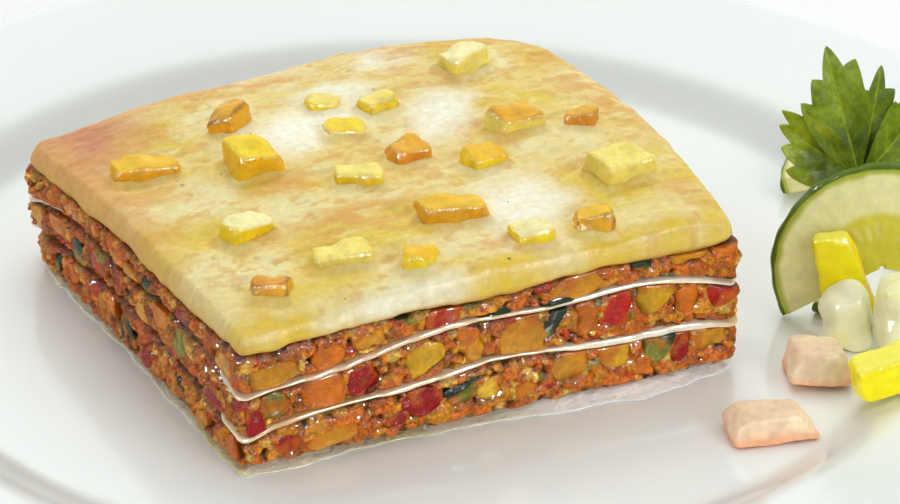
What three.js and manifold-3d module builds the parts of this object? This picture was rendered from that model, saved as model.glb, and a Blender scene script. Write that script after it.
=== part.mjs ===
// A plated slice of vegetable lasagne: three layers of chopped-vegetable
// filling between wavy pasta sheets, a baked cream-sauce top, and squash dice
// half sunk in that top. It lies in the well of a white dinner plate, with a
// garnish of cucumber, sweet pepper, tomato and parsley beside it.
// Millimetres, +Z up, origin under the middle of the plate.
import * as THREE from "three";
import { ConvexGeometry } from "three/addons/geometries/ConvexGeometry.js";
import { mergeVertices } from "three/addons/utils/BufferGeometryUtils.js";
import Module from "manifold-3d";

const wasm = await Module();
wasm.setup();

// ---- Driving dimensions -------------------------------------------------

// Corners of the cut, seen from above. It was cut by hand, so it isn't square.
const CORNERS = {
  nearLeft: [-52, -55],
  nearRight: [59.5, -55],
  farRight: [59.5, 52.5],
  farLeft: [-63.7, 54],
};
const NOMINAL_WIDTH = 115;
const NOMINAL_DEPTH = 106;
const BOW_RIGHT = 3.5; // how far the right side swells out at its middle
const BOW_BACK = 6; // and the back, most of all right of its middle
const SHEET = 1.2; // thickness of cooked pasta
const BASE_SHEET = 1.4; // the bottom sheet, swollen with sauce
const JOINT = 0.3; // clearance between touching layers

// Height of each layer's underside at the four corners, how far it arches up
// in the middle of the slice, and how much it ripples.
const LEVELS = {
  lowerSheet: { corners: [5.9, 9.4, 10.0, 6.2], crown: 5.2, ripple: 0.8, phase: 0.4 },
  upperSheet: { corners: [16.4, 19.2, 20.0, 14.0], crown: 5.8, ripple: 0.9, phase: 2.1 },
  top: { corners: [26.0, 30.4, 28.8, 20.8], crown: 1.6, ripple: 0.5, phase: 4.0 },
  crust: { corners: [29.8, 34.8, 32.0, 27.4], crown: 3.4, ripple: 0.35, phase: 1.2 },
};

// Rounding of the slice's upright corners, in the order of CORNERS.
const SHEET_ROUND = [2, 2.5, 14, 4];
const FILLING_ROUND = [3, 3, 16, 5];
const LOWER_ROUND = [3, 3, 16, 11];
const TOP_ROUND = [3, 5, 20, 6];
const BASE_ROUND = [1.5, 3, 14, 12];

const GRID = 12; // cells across each layer
const EDGE_CROWDING = 0.62; // 0 spaces the cells evenly, 1 crowds them to the edges

// Squash dice on top: middle, length, width, height, turn in degrees, tilt.
const DICE = [
  { at: [-46.5, 19.5], size: [14.5, 7, 6.5], turn: -8, tilt: 5 },
  { at: [-22.5, 30], size: [10, 6.5, 8], turn: 41, tilt: -14 },
  { at: [-25, 10], size: [10.5, 10, 8.5], turn: 1, tilt: 5 },
  { at: [0, 31.5], size: [8, 6, 5], turn: -4, tilt: 4 },
  { at: [10.5, 25], size: [9, 7, 6], turn: 10, tilt: -6 },
  { at: [-0.5, 18], size: [10, 7.5, 5], turn: -12, tilt: 5 },
  { at: [-7, -6.5], size: [11, 7, 6], turn: -20, tilt: 0 },
  { at: [7, -0.5], size: [9.5, 7.5, 6.5], turn: 2, tilt: 4 },
  { at: [35, 35], size: [11, 8, 7.5], turn: 18, tilt: -6 },
  { at: [33, 1.5], size: [12, 7.5, 7], turn: 12, tilt: 9 },
  { at: [46.5, -3.5], size: [7.5, 6, 6], turn: -30, tilt: -8 },
  { at: [20, -10.5], size: [9.5, 7.5, 6.5], turn: 14, tilt: 6 },
  { at: [43.5, -28.5], size: [13, 11, 8], turn: 14, tilt: 4 },
  { at: [4.5, -30.5], size: [15.5, 7.5, 7], turn: -6, tilt: 3 },
  { at: [29.5, -46.5], size: [8.5, 6.5, 6.5], turn: -18, tilt: -8 },
  { at: [-36.5, -17], size: [11.5, 7.5, 7], turn: 18, tilt: 6 },
  { at: [-22.5, -36.5], size: [12, 7.5, 5.5], turn: -10, tilt: -3 },
  { at: [-9, -45.5], size: [7.5, 6, 5.5], turn: -20, tilt: 6 },
  { at: [15.5, -45.5], size: [9.5, 6.5, 6], turn: -2, tilt: 5 },
  { at: [-40, -42], size: [8.5, 6, 6], turn: -26, tilt: -8 },
];
const DIE_SUNK = 3; // how deep a die sits in the sauce
const DIE_CHAMFER = 1.3; // cooked edges are soft
const DIE_WEAR = 0.11; // how far a corner may stray, as a share of the die

// The plate: radii and heights of its foot, well and rim.
const PLATE = {
  footInner: 80,
  footOuter: 88,
  well: 106, // radius of the flat floor of the well
  shoulder: 116, // where the well's side meets the rim
  radius: 155,
  recess: 2.4, // underside inside the foot ring
  floor: 6.8,
  shoulderHeight: 12.2,
  height: 19,
  edge: 4.2, // thickness at the lip
  segments: 48,
};
const SLICE_AT = [-8, -3]; // the slice's own origin, seen from the plate's middle
const REST = PLATE.floor + JOINT; // height of whatever rests in the well

// Cucumber slices: discs, or the part of one that runs clockwise from an angle
// through a sweep. A standing slice faces along its heading and leans back; a
// lying one climbs along its heading.
const STANDING_CUCUMBER = {
  at: [90.5, -50],
  radius: 23.6,
  thickness: 3.4,
  from: 209,
  sweep: 220,
  heading: -114,
  lean: 5,
};
const HALF_CUCUMBER = {
  at: [113.5, -0.5],
  radius: 19,
  thickness: 4.4,
  from: 160,
  sweep: 180,
  heading: -3,
  lean: 16,
};
const CUCUMBER_WEDGE = {
  at: [89.5, -35],
  radius: 15,
  thickness: 2.8,
  from: 30,
  sweep: 60,
  heading: -113,
  lean: 0,
};

// Cut pieces on the plate: middle, length, width, height, how far the top
// draws in, and in degrees the turn, the tilt sideways and the climb endways.
const PIECES = {
  tomato_piece_1: { at: [45.5, -84.5], size: [20, 12, 6.2], draw: 0.3, turn: -14, tilt: 4 },
  tomato_piece_2: { at: [65.5, -68], size: [14, 13, 7.5], draw: 0.2, turn: -20, tilt: -5 },
  yellow_pepper_piece_1: { at: [83.6, -51.8], size: [13.5, 4.5, 23.5], draw: 0.3, turn: -24, tilt: -4 },
  yellow_pepper_piece_2: {
    at: [72.5, -85], size: [16, 9, 8.5], draw: 0.06, turn: -12, tilt: 2, climb: 17,
  },
  cucumber_chunk_1: { at: [78.3, -57.4], size: [9.5, 9, 12], draw: 0.18, turn: -28, tilt: 4 },
  cucumber_chunk_2: { at: [87, -67.5], size: [13, 11, 13], draw: 0.22, turn: -18, tilt: -6, climb: 8 },
};

// Parsley: one leaf on a stem. Its teeth are given as angle from upright and reach.
const PARSLEY = {
  at: [96, -33],
  hub: 25.5, // height of the leaf's base above the well's floor
  thickness: 1,
  stem: 1.3,
  notch: 0.78, // how deep the leaf is cut between teeth
  leafletNotch: 0.5, // and between its three leaflets
  teeth: [
    [-84, 19], [-66, 21], [-54, 23.5], [-44, 23.5], [-31, 26], [-18, 31.5], [-6, 28.5],
    [8, 27], [20, 29], [34, 25.5], [47, 27], [60, 25], [74, 22.5], [88, 20],
  ],
  leafletEnds: [3, 8], // the teeth after which a new leaflet starts
  heading: -108,
  lean: 6,
};

const COLOURS = {
  pasta: 0xeadfc0,
  filling: 0xb5521c,
  sauce: 0xf0dc9a,
  squash: 0xe8b02a,
  plate: 0xf4f4f2,
  cucumber: 0xc9d08a,
  tomato: 0xe8b090,
  yellow_pepper: 0xf0dc10,
  parsley: 0x5f8c10,
};

// ---- Small helpers --------------------------------------------------------

// A repeatable random number source (mulberry32).
function randomSource(seed) {
  let state = seed >>> 0;
  return () => {
    state = (state + 0x6d2b79f5) >>> 0;
    let t = Math.imul(state ^ (state >>> 15), 1 | state);
    t = (t + Math.imul(t ^ (t >>> 7), 61 | t)) ^ t;
    return ((t ^ (t >>> 14)) >>> 0) / 2 ** 32;
  };
}

// Blends four corner values, given in the order of CORNERS, across the slice.
function blendCorners([nearLeft, nearRight, farRight, farLeft], u, v) {
  const near = nearLeft + (nearRight - nearLeft) * u;
  const far = farLeft + (farRight - farLeft) * u;
  return near + (far - near) * v;
}

// Cells are small at the slice's edges, where its outline needs the detail.
function gridLine(k) {
  const t = k / GRID;
  return t - (EDGE_CROWDING * Math.sin(2 * Math.PI * t)) / (2 * Math.PI);
}

// ---- The slice's plan and levels -------------------------------------------

// Rounds the upright corners: a corner's square of side r maps onto its quarter disc.
function roundCorner(u, v, radii) {
  const radius = radii[v < 0.5 ? (u < 0.5 ? 0 : 1) : u < 0.5 ? 3 : 2];
  const fromSide = Math.min(u, 1 - u) * NOMINAL_WIDTH;
  const fromEnd = Math.min(v, 1 - v) * NOMINAL_DEPTH;
  const dx = radius - fromSide;
  const dy = radius - fromEnd;
  if (dx <= 0 || dy <= 0) return [u, v];
  const shrink = Math.max(dx, dy) / Math.hypot(dx, dy);
  const side = (radius - dx * shrink) / NOMINAL_WIDTH;
  const end = (radius - dy * shrink) / NOMINAL_DEPTH;
  return [u < 0.5 ? side : 1 - side, v < 0.5 ? end : 1 - end];
}

// The plan position of (u, v), which run from 0 to 1 from left to right and near to far.
function planPoint(u, v) {
  const corners = Object.values(CORNERS);
  const x = blendCorners(corners.map((c) => c[0]), u, v);
  const y = blendCorners(corners.map((c) => c[1]), u, v);
  return new THREE.Vector2(
    x + BOW_RIGHT * Math.sin(Math.PI * v) * u,
    y + BOW_BACK * Math.sin(Math.PI * Math.max(u, 0) ** 1.5) * v,
  );
}

// Height of a level: corner heights, a crown in the middle and long ripples.
function levelHeight({ corners, crown, ripple, phase }, u, v) {
  const middle = Math.sin(Math.PI * u) + Math.sin(Math.PI * v);
  const arch = 1.25 * (1 - Math.exp(-1.6 * middle));
  const wave =
    Math.sin(2 * Math.PI * (2.3 * u + 0.5 * v) + phase) +
    0.7 * Math.sin(2 * Math.PI * (0.7 * u - 1.9 * v) + 2 * phase);
  return blendCorners(corners, u, v) + crown * arch + ripple * wave;
}

// ---- Layers -----------------------------------------------------------------

// A closed layer between two surfaces. reach(along, up) says how far its side
// stands out from the plan, along the perimeter (0 to 1) and up the side (0 to 1).
function layerGeometry({ under, over, radii, reach, rows }) {
  const stride = GRID + 1;
  const rim = [];
  for (let k = 0; k < GRID; k++) rim.push([k, 0]);
  for (let k = 0; k < GRID; k++) rim.push([GRID, k]);
  for (let k = GRID; k > 0; k--) rim.push([k, GRID]);
  for (let k = GRID; k > 0; k--) rim.push([0, k]);

  const spot = (i, j) => roundCorner(gridLine(i), gridLine(j), radii);
  const outward = rim.map((_, n) => {
    const before = planPoint(...spot(...rim[(n + rim.length - 1) % rim.length]));
    const after = planPoint(...spot(...rim[(n + 1) % rim.length]));
    const run = after.sub(before).normalize();
    return new THREE.Vector2(run.y, -run.x);
  });
  const rimIndex = new Map(rim.map(([i, j], n) => [i * stride + j, n]));

  // Height depends on the plan position alone, so touching layers stay apart
  // wherever their sides reach.
  const positions = [];
  const addVertex = (i, j, height, up) => {
    let [u, v] = spot(i, j);
    const n = rimIndex.get(i * stride + j);
    if (n !== undefined) {
      const out = reach(n / rim.length, up);
      u += (outward[n].x * out) / NOMINAL_WIDTH;
      v += (outward[n].y * out) / NOMINAL_DEPTH;
    }
    const p = planPoint(u, v);
    positions.push(p.x, p.y, height(u, v));
    return positions.length / 3 - 1;
  };
  const addSurface = (height, up) => {
    const first = positions.length / 3;
    for (let i = 0; i <= GRID; i++) {
      for (let j = 0; j <= GRID; j++) addVertex(i, j, height, up);
    }
    return first;
  };
  const lower = addSurface(under, 0);
  const upper = addSurface(over, 1);

  // Rings of vertices up the side: the two surfaces' own rims and the rows between.
  const rings = [rim.map(([i, j]) => lower + i * stride + j)];
  for (let row = 1; row <= rows; row++) {
    const up = row / (rows + 1);
    const between = (u, v) => THREE.MathUtils.lerp(under(u, v), over(u, v), up);
    rings.push(rim.map(([i, j]) => addVertex(i, j, between, up)));
  }
  rings.push(rim.map(([i, j]) => upper + i * stride + j));

  const index = [];
  for (let i = 0; i < GRID; i++) {
    for (let j = 0; j < GRID; j++) {
      const a = i * stride + j;
      const [b, c, d] = [a + stride, a + stride + 1, a + 1];
      index.push(upper + a, upper + b, upper + c, upper + a, upper + c, upper + d);
      index.push(lower + a, lower + c, lower + b, lower + a, lower + d, lower + c);
    }
  }
  for (let r = 0; r + 1 < rings.length; r++) {
    for (let n = 0; n < rim.length; n++) {
      const m = (n + 1) % rim.length;
      const [a, b, c, d] = [rings[r][n], rings[r][m], rings[r + 1][m], rings[r + 1][n]];
      index.push(a, b, c, a, c, d);
    }
  }
  const geometry = new THREE.BufferGeometry();
  geometry.setAttribute("position", new THREE.Float32BufferAttribute(positions, 3));
  geometry.setIndex(index);
  return geometry;
}

// A cut edge of pasta is nearly straight, and wanders in and out a little.
function pastaReach(phase) {
  return (along) => 0.25 + 0.35 * Math.sin(2 * Math.PI * 5 * along + phase);
}

// The bottom sheet spread under the weight, most of all along the near side,
// which is the first quarter of the perimeter.
function baseReach(along) {
  const nearSide = Math.max(0, Math.sin(4 * Math.PI * Math.min(along, 0.25)));
  return 1.1 + 1.5 * nearSide + 0.9 * Math.sin(2 * Math.PI * 6 * along + 2.6);
}

// Filling bulges between the sheets, with lumps where chunks stand out.
function fillingReach(seed) {
  const random = randomSource(seed);
  const lumps = Array.from({ length: 4 * GRID * 5 }, () => 1.9 * random() - 1.1);
  return (along, up) => {
    const column = Math.round(along * 4 * GRID) % (4 * GRID);
    const row = Math.round(up * 4);
    return 0.9 * Math.sin(Math.PI * up) - 0.5 + lumps[row * 4 * GRID + column];
  };
}

// The sauce overhangs the cut a little and rounds over to the top.
function sauceReach(along, up) {
  const hang = 0.6 + 0.5 * Math.sin(2 * Math.PI * 7 * along + 1);
  return hang - 2.4 * up ** 3;
}

const level = (name, rise = 0) => (u, v) => levelHeight(LEVELS[name], u, v) + rise;
const flat = (height) => () => height;

function named(name, colour, geometry) {
  const material = new THREE.MeshStandardMaterial({ color: colour, roughness: 0.5, metalness: 0 });
  const mesh = new THREE.Mesh(geometry, material);
  mesh.name = name;
  return mesh;
}

const layer = (name, colour, options) => named(name, colour, layerGeometry(options));

function pastaSheet(name, levelName, phase) {
  return layer(name, COLOURS.pasta, {
    under: level(levelName),
    over: level(levelName, SHEET),
    radii: SHEET_ROUND,
    reach: pastaReach(phase),
    rows: 0,
  });
}

function fillingLayer(name, under, over, seed, radii = FILLING_ROUND) {
  return layer(name, COLOURS.filling, {
    under,
    over,
    radii,
    reach: fillingReach(seed),
    rows: 3,
  });
}

// ---- Squash dice --------------------------------------------------------------

// A worn cube: each corner strays a little and is cut back along its three edges.
// draw narrows its top.
function dieGeometry([length, width, height], random, draw = 0) {
  const points = [];
  for (const sx of [-1, 1]) {
    for (const sy of [-1, 1]) {
      for (const sz of [-1, 1]) {
        const stray = () => 1 - DIE_WEAR * 2 * random();
        const drawn = sz > 0 ? 1 - draw : 1;
        const corner = new THREE.Vector3(
          (sx * length * drawn * stray()) / 2,
          (sy * width * drawn * stray()) / 2,
          (sz * height * stray()) / 2,
        );
        const [cx, cy, cz] = [sx, sy, sz].map((s) => s * DIE_CHAMFER);
        points.push(corner.clone().sub(new THREE.Vector3(cx, 0, 0)));
        points.push(corner.clone().sub(new THREE.Vector3(0, cy, 0)));
        points.push(corner.clone().sub(new THREE.Vector3(0, 0, cz)));
      }
    }
  }
  return new ConvexGeometry(points);
}

// The height of the crust under a plan point, found by stepping towards it in (u, v).
function crustAt([x, y]) {
  let u = 0.5;
  let v = 0.5;
  for (let step = 0; step < 20; step++) {
    const p = planPoint(u, v);
    u += (x - p.x) / NOMINAL_WIDTH;
    v += (y - p.y) / NOMINAL_DEPTH;
  }
  return levelHeight(LEVELS.crust, u, v);
}

const degrees = THREE.MathUtils.degToRad;

function squashDie({ at, size, turn, tilt }, number) {
  const name = `squash_dice_${String(number).padStart(2, "0")}`;
  const mesh = named(name, COLOURS.squash, dieGeometry(size, randomSource(100 + number)));
  mesh.position.set(at[0], at[1], crustAt(at) + size[2] / 2 - DIE_SUNK);
  mesh.rotation.set(degrees(tilt), degrees(tilt / 2), degrees(turn), "ZYX");
  return mesh;
}

// ---- Pockets in the sauce ------------------------------------------------------

// A mesh, in place, as a solid. grow widens it all round, for a pocket with clearance.
function solidOf(mesh, grow = 0) {
  mesh.geometry.computeBoundingBox();
  const size = mesh.geometry.boundingBox.getSize(new THREE.Vector3());
  const bigger = (side) => (side + 2 * grow) / side;
  mesh.updateMatrix();
  const shape = mesh.geometry
    .clone()
    .deleteAttribute("normal")
    .deleteAttribute("uv")
    .scale(bigger(size.x), bigger(size.y), bigger(size.z))
    .applyMatrix4(mesh.matrix);
  const merged = mergeVertices(shape, 1e-3);
  return new wasm.Manifold(
    new wasm.Mesh({
      numProp: 3,
      vertProperties: merged.attributes.position.array,
      triVerts: new Uint32Array(merged.index.array),
    }),
  );
}

function cutPockets(sauce, dice) {
  let solid = solidOf(sauce);
  for (const die of dice) solid = solid.subtract(solidOf(die, JOINT));
  const { vertProperties, triVerts } = solid.getMesh();
  sauce.geometry = new THREE.BufferGeometry();
  sauce.geometry.setAttribute("position", new THREE.BufferAttribute(vertProperties, 3));
  sauce.geometry.setIndex(new THREE.BufferAttribute(triVerts, 1));
}

// ---- The slice -------------------------------------------------------------------

const dice = DICE.map((die, k) => squashDie(die, k + 1));

const bakedTop = layer("baked_sauce_top", COLOURS.sauce, {
  under: level("top"),
  over: (u, v) => {
    const fromEdge = Math.min(
      Math.min(u, 1 - u) * NOMINAL_WIDTH,
      Math.min(v, 1 - v) * NOMINAL_DEPTH,
    );
    const roundOver = 1.5 * Math.exp(-((fromEdge / 3) ** 2));
    return levelHeight(LEVELS.crust, u, v) - roundOver;
  },
  radii: TOP_ROUND,
  reach: sauceReach,
  rows: 2,
});
cutPockets(bakedTop, dice);

const slice = new THREE.Group();
slice.add(
  layer("bottom_pasta_sheet", COLOURS.pasta, {
    under: flat(0),
    over: flat(BASE_SHEET),
    radii: BASE_ROUND,
    reach: baseReach,
    rows: 0,
  }),
  fillingLayer("lower_filling", flat(BASE_SHEET + JOINT), level("lowerSheet", -JOINT), 11, LOWER_ROUND),
  pastaSheet("lower_pasta_sheet", "lowerSheet", 2.2),
  fillingLayer("middle_filling", level("lowerSheet", SHEET + JOINT), level("upperSheet", -JOINT), 23),
  pastaSheet("upper_pasta_sheet", "upperSheet", 4.1),
  fillingLayer("upper_filling", level("upperSheet", SHEET + JOINT), level("top", -JOINT), 37),
  bakedTop,
  ...dice,
);

slice.position.set(...SLICE_AT, REST);

// ---- The plate ---------------------------------------------------------------------

// Turns a profile of [radius, height] pairs, from axis to axis, about the Z axis.
function turned(profile, segments) {
  const ringSize = profile.length - 2;
  const positions = [0, 0, profile[0][1]];
  for (let s = 0; s < segments; s++) {
    const angle = (2 * Math.PI * s) / segments;
    for (const [radius, height] of profile.slice(1, -1)) {
      positions.push(radius * Math.cos(angle), radius * Math.sin(angle), height);
    }
  }
  positions.push(0, 0, profile.at(-1)[1]);
  const last = positions.length / 3 - 1;
  const index = [];
  for (let s = 0; s < segments; s++) {
    const here = 1 + s * ringSize;
    const next = 1 + ((s + 1) % segments) * ringSize;
    index.push(0, next, here);
    for (let k = 0; k + 1 < ringSize; k++) {
      index.push(here + k, next + k, next + k + 1, here + k, next + k + 1, here + k + 1);
    }
    index.push(here + ringSize - 1, next + ringSize - 1, last);
  }
  const geometry = new THREE.BufferGeometry();
  geometry.setAttribute("position", new THREE.Float32BufferAttribute(positions, 3));
  geometry.setIndex(index);
  return geometry;
}

const { footInner, footOuter, well, shoulder, radius, recess, floor, shoulderHeight, height, edge } = PLATE;
const PLATE_UNDERSIDE = [
  [0, recess],
  [footInner, recess],
  [footInner + 1.5, 0],
  [footOuter - 1.5, 0],
  [footOuter + 1, recess + 0.4],
  [well + 2, recess + 0.8],
  [shoulder + 3, shoulderHeight - edge],
  [radius - 1.5, height - edge],
  [radius, height - edge / 2],
];
const PLATE_TOP = [
  [0, floor],
  [well, floor],
  [well + 4.5, floor + 2.2],
  [shoulder, shoulderHeight],
  [shoulder + 3, shoulderHeight + 0.9],
  [radius - 3, height],
  [radius - 1, height - 0.4],
];
const plateProfile = [...PLATE_UNDERSIDE, ...PLATE_TOP.toReversed()];
const plate = named("dinner_plate", COLOURS.plate, turned(plateProfile, PLATE.segments));

// Height of the plate's upper side at a distance from its middle.
function plateTopAt(distance) {
  const k = PLATE_TOP.findIndex(([r]) => r > distance);
  const [[r0, z0], [r1, z1]] = [PLATE_TOP[k - 1], PLATE_TOP[k]];
  return z0 + ((z1 - z0) * (distance - r0)) / (r1 - r0);
}

// Sets a turned piece down where it is, clear of the plate by a joint. Each
// triangle is tested at points spread over it.
function settle(mesh) {
  mesh.updateMatrix();
  const flat = mesh.geometry.index ? mesh.geometry.toNonIndexed() : mesh.geometry.clone();
  const position = flat.applyMatrix4(mesh.matrix).getAttribute("position");
  const corner = (k) => new THREE.Vector3().fromBufferAttribute(position, k);
  const steps = 6;
  let rise = -Infinity;
  for (let k = 0; k < position.count; k += 3) {
    const [a, b, c] = [corner(k), corner(k + 1), corner(k + 2)];
    for (let i = 0; i <= steps; i++) {
      for (let j = 0; i + j <= steps; j++) {
        const p = a.clone().lerp(b, i / steps).addScaledVector(c.clone().sub(a), j / steps);
        rise = Math.max(rise, plateTopAt(Math.hypot(p.x, p.y)) + JOINT - p.z);
      }
    }
  }
  mesh.position.z += rise;
  return mesh;
}

// ---- The garnish -----------------------------------------------------------------------

// A disc of cucumber, or the part of one that runs clockwise from an angle.
function cucumberSlice(name, { radius, thickness, from, sweep, at, heading, lean }) {
  const shape = new THREE.Shape();
  const whole = sweep === 360;
  const steps = Math.round(sweep / 10);
  for (let k = whole ? 1 : 0; k <= steps; k++) {
    const angle = degrees(from - (sweep * k) / steps);
    shape.lineTo(radius * Math.cos(angle), radius * Math.sin(angle));
  }
  if (!whole) shape.lineTo(0, 0);
  const geometry = new THREE.ExtrudeGeometry(shape, { depth: thickness, bevelEnabled: false });
  geometry.translate(0, 0, -thickness / 2);
  const mesh = named(name, COLOURS.cucumber, geometry);
  mesh.position.set(at[0], at[1], 0);
  return { mesh, turn: degrees(heading), lean: degrees(lean) };
}

// Stands a slice up so that its face looks along its heading, leaning back a little.
function standing({ mesh, turn, lean }) {
  mesh.rotation.set(Math.PI / 2 - lean, 0, turn + Math.PI / 2, "ZYX");
  return settle(mesh);
}

// Lays a slice down, climbing along its heading.
function lying({ mesh, turn, lean }) {
  mesh.rotation.set(0, -lean, turn, "ZYX");
  return settle(mesh);
}

function cutPiece([name, { at, size, draw, turn, tilt, climb = 0 }], number) {
  const kind = Object.keys(COLOURS).find((colour) => name.startsWith(colour));
  const mesh = named(name, COLOURS[kind], dieGeometry(size, randomSource(300 + number), draw));
  mesh.rotation.set(degrees(tilt), degrees(-climb), degrees(turn), "ZYX");
  mesh.position.set(at[0], at[1], 0);
  return settle(mesh);
}

// A flat leaf with pointed teeth on a straight stem, cut as one outline.
function parsleySprig({ at, hub, thickness, stem, notch, leafletNotch, teeth, leafletEnds, heading, lean }) {
  const polar = (angle, reach) => [reach * Math.sin(degrees(angle)), reach * Math.cos(degrees(angle))];
  const shape = new THREE.Shape();
  shape.moveTo(-stem, -hub + JOINT);
  shape.lineTo(-stem, 0);
  teeth.forEach(([angle, reach], k) => {
    shape.lineTo(...polar(angle, reach));
    if (k === teeth.length - 1) return;
    const [nextAngle, nextReach] = teeth[k + 1];
    const depth = leafletEnds.includes(k) ? leafletNotch : notch;
    shape.lineTo(...polar((angle + nextAngle) / 2, (depth * (reach + nextReach)) / 2));
  });
  shape.lineTo(stem, 0);
  shape.lineTo(stem, -hub + JOINT);
  const geometry = new THREE.ExtrudeGeometry(shape, { depth: thickness, bevelEnabled: false });
  geometry.translate(0, 0, -thickness / 2);
  const mesh = named("parsley_sprig", COLOURS.parsley, geometry);
  mesh.position.set(at[0], at[1], 0);
  return standing({ mesh, turn: degrees(heading), lean: degrees(lean) });
}

const garnish = new THREE.Group();
garnish.add(
  standing(cucumberSlice("cucumber_slice_standing", STANDING_CUCUMBER)),
  lying(cucumberSlice("cucumber_half_slice", HALF_CUCUMBER)),
  lying(cucumberSlice("cucumber_wedge", CUCUMBER_WEDGE)),
  ...Object.entries(PIECES).map(cutPiece),
  parsleySprig(PARSLEY),
);

// ---- The plated dish ---------------------------------------------------------------------

const dish = new THREE.Group();
dish.add(plate, slice, garnish);

export default dish;
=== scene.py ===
"""The plated slice of vegetable lasagne, finished round its CAD frame.

Lengths are in millimetres, and turn into metres when a mesh is made. The slice's
plan and levels follow the formulas of its CAD solids, so each layer fills its own
solid. Colours are linear RGB. A vertex colour named "tone" carries what differs
from place to place; the materials add what is finer than the mesh.
"""

import math

import bpy
import numpy as np
from mathutils import Euler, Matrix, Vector
from mathutils.bvhtree import BVHTree


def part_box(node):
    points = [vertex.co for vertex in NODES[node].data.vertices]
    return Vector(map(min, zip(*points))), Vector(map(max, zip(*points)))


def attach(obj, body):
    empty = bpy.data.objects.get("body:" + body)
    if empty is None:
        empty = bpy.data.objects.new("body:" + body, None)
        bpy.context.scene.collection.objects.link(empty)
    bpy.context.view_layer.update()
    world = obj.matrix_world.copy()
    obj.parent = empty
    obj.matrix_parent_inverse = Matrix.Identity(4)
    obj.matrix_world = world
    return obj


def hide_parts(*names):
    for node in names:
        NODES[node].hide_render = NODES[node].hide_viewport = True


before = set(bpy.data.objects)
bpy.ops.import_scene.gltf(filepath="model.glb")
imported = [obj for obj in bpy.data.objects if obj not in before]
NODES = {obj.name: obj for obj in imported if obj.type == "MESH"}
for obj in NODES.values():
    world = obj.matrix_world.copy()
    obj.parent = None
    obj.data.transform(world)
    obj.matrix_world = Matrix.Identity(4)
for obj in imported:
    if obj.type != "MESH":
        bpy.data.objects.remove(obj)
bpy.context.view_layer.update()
MM = 0.001

# ---- The slice's plan and levels, as in the CAD ---------------------------------

CORNERS = np.array([[-52, -55], [59.5, -55], [59.5, 52.5], [-63.7, 54]])
SLICE_AT = np.array([-8, -3])
REST = 7.1  # height of the slice's underside
WIDTH, DEPTH = 115, 106
BOW_RIGHT, BOW_BACK = 3.5, 6
SHEET, BASE_SHEET, JOINT = 1.2, 1.4, 0.3
DIE_SUNK = 3

# Corner heights (near left, near right, far right, far left), crown, ripple and phase.
LEVELS = {
    "lower sheet": ([5.9, 9.4, 10.0, 6.2], 5.2, 0.8, 0.4),
    "upper sheet": ([16.4, 19.2, 20.0, 14.0], 5.8, 0.9, 2.1),
    "top": ([26.0, 30.4, 28.8, 20.8], 1.6, 0.5, 4.0),
    "crust": ([29.8, 34.8, 32.0, 27.4], 3.4, 0.35, 1.2),
}

# Radii of the layers' upright corners, in the same order as the corner heights.
SHEET_ROUND = [2, 2.5, 14, 4]
FILLING_ROUND = [3, 3, 16, 5]
LOWER_ROUND = [3, 3, 16, 11]
TOP_ROUND = [1.5, 4, 20, 6]
BASE_ROUND = [1.5, 3, 14, 12]


def blend(corners, u, v):
    near = corners[0] + (corners[1] - corners[0]) * u
    far = corners[3] + (corners[2] - corners[3]) * u
    return near + (far - near) * v


def plan(u, v):
    """Plan positions of (u, v), which run from 0 to 1 from left to right and near to far."""
    x = blend(CORNERS[:, 0], u, v) + BOW_RIGHT * np.sin(np.pi * v) * u
    y = blend(CORNERS[:, 1], u, v) + BOW_BACK * np.sin(np.pi * np.maximum(u, 0) ** 1.5) * v
    return np.stack([x, y], -1) + SLICE_AT


def level(name, u, v):
    corners, crown, ripple, phase = LEVELS[name]
    arch = 1.25 * (1 - np.exp(-1.6 * (np.sin(np.pi * u) + np.sin(np.pi * v))))
    wave = np.sin(2 * np.pi * (2.3 * u + 0.5 * v) + phase)
    wave = wave + 0.7 * np.sin(2 * np.pi * (0.7 * u - 1.9 * v) + 2 * phase)
    return REST + blend(corners, u, v) + crown * arch + ripple * wave


def across_plane(points):
    """Plan positions with a height of 0, as places for noise."""
    return np.concatenate([points, 0 * points[:, :1]], -1)


def outward_of(loop):
    """Unit directions out of a closed loop of plan positions."""
    run = np.roll(loop, -2, 0) - np.roll(loop, 2, 0)
    run /= np.linalg.norm(run, axis=1)[:, None]
    return np.stack([run[:, 1], -run[:, 0]], -1)


def round_corners(u, v, radii):
    """Maps each upright corner's square onto its quarter disc."""
    near, left = v < 0.5, u < 0.5
    radius = np.where(near, np.where(left, radii[0], radii[1]), np.where(left, radii[3], radii[2]))
    dx = radius - np.minimum(u, 1 - u) * WIDTH
    dy = radius - np.minimum(v, 1 - v) * DEPTH
    corner = (dx > 0) & (dy > 0)
    shrink = np.maximum(dx, dy) / np.maximum(np.hypot(dx, dy), 1e-9)
    side = (radius - dx * shrink) / WIDTH
    end = (radius - dy * shrink) / DEPTH
    u = np.where(corner, np.where(left, side, 1 - side), u)
    v = np.where(corner, np.where(near, end, 1 - end), v)
    return u, v


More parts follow.
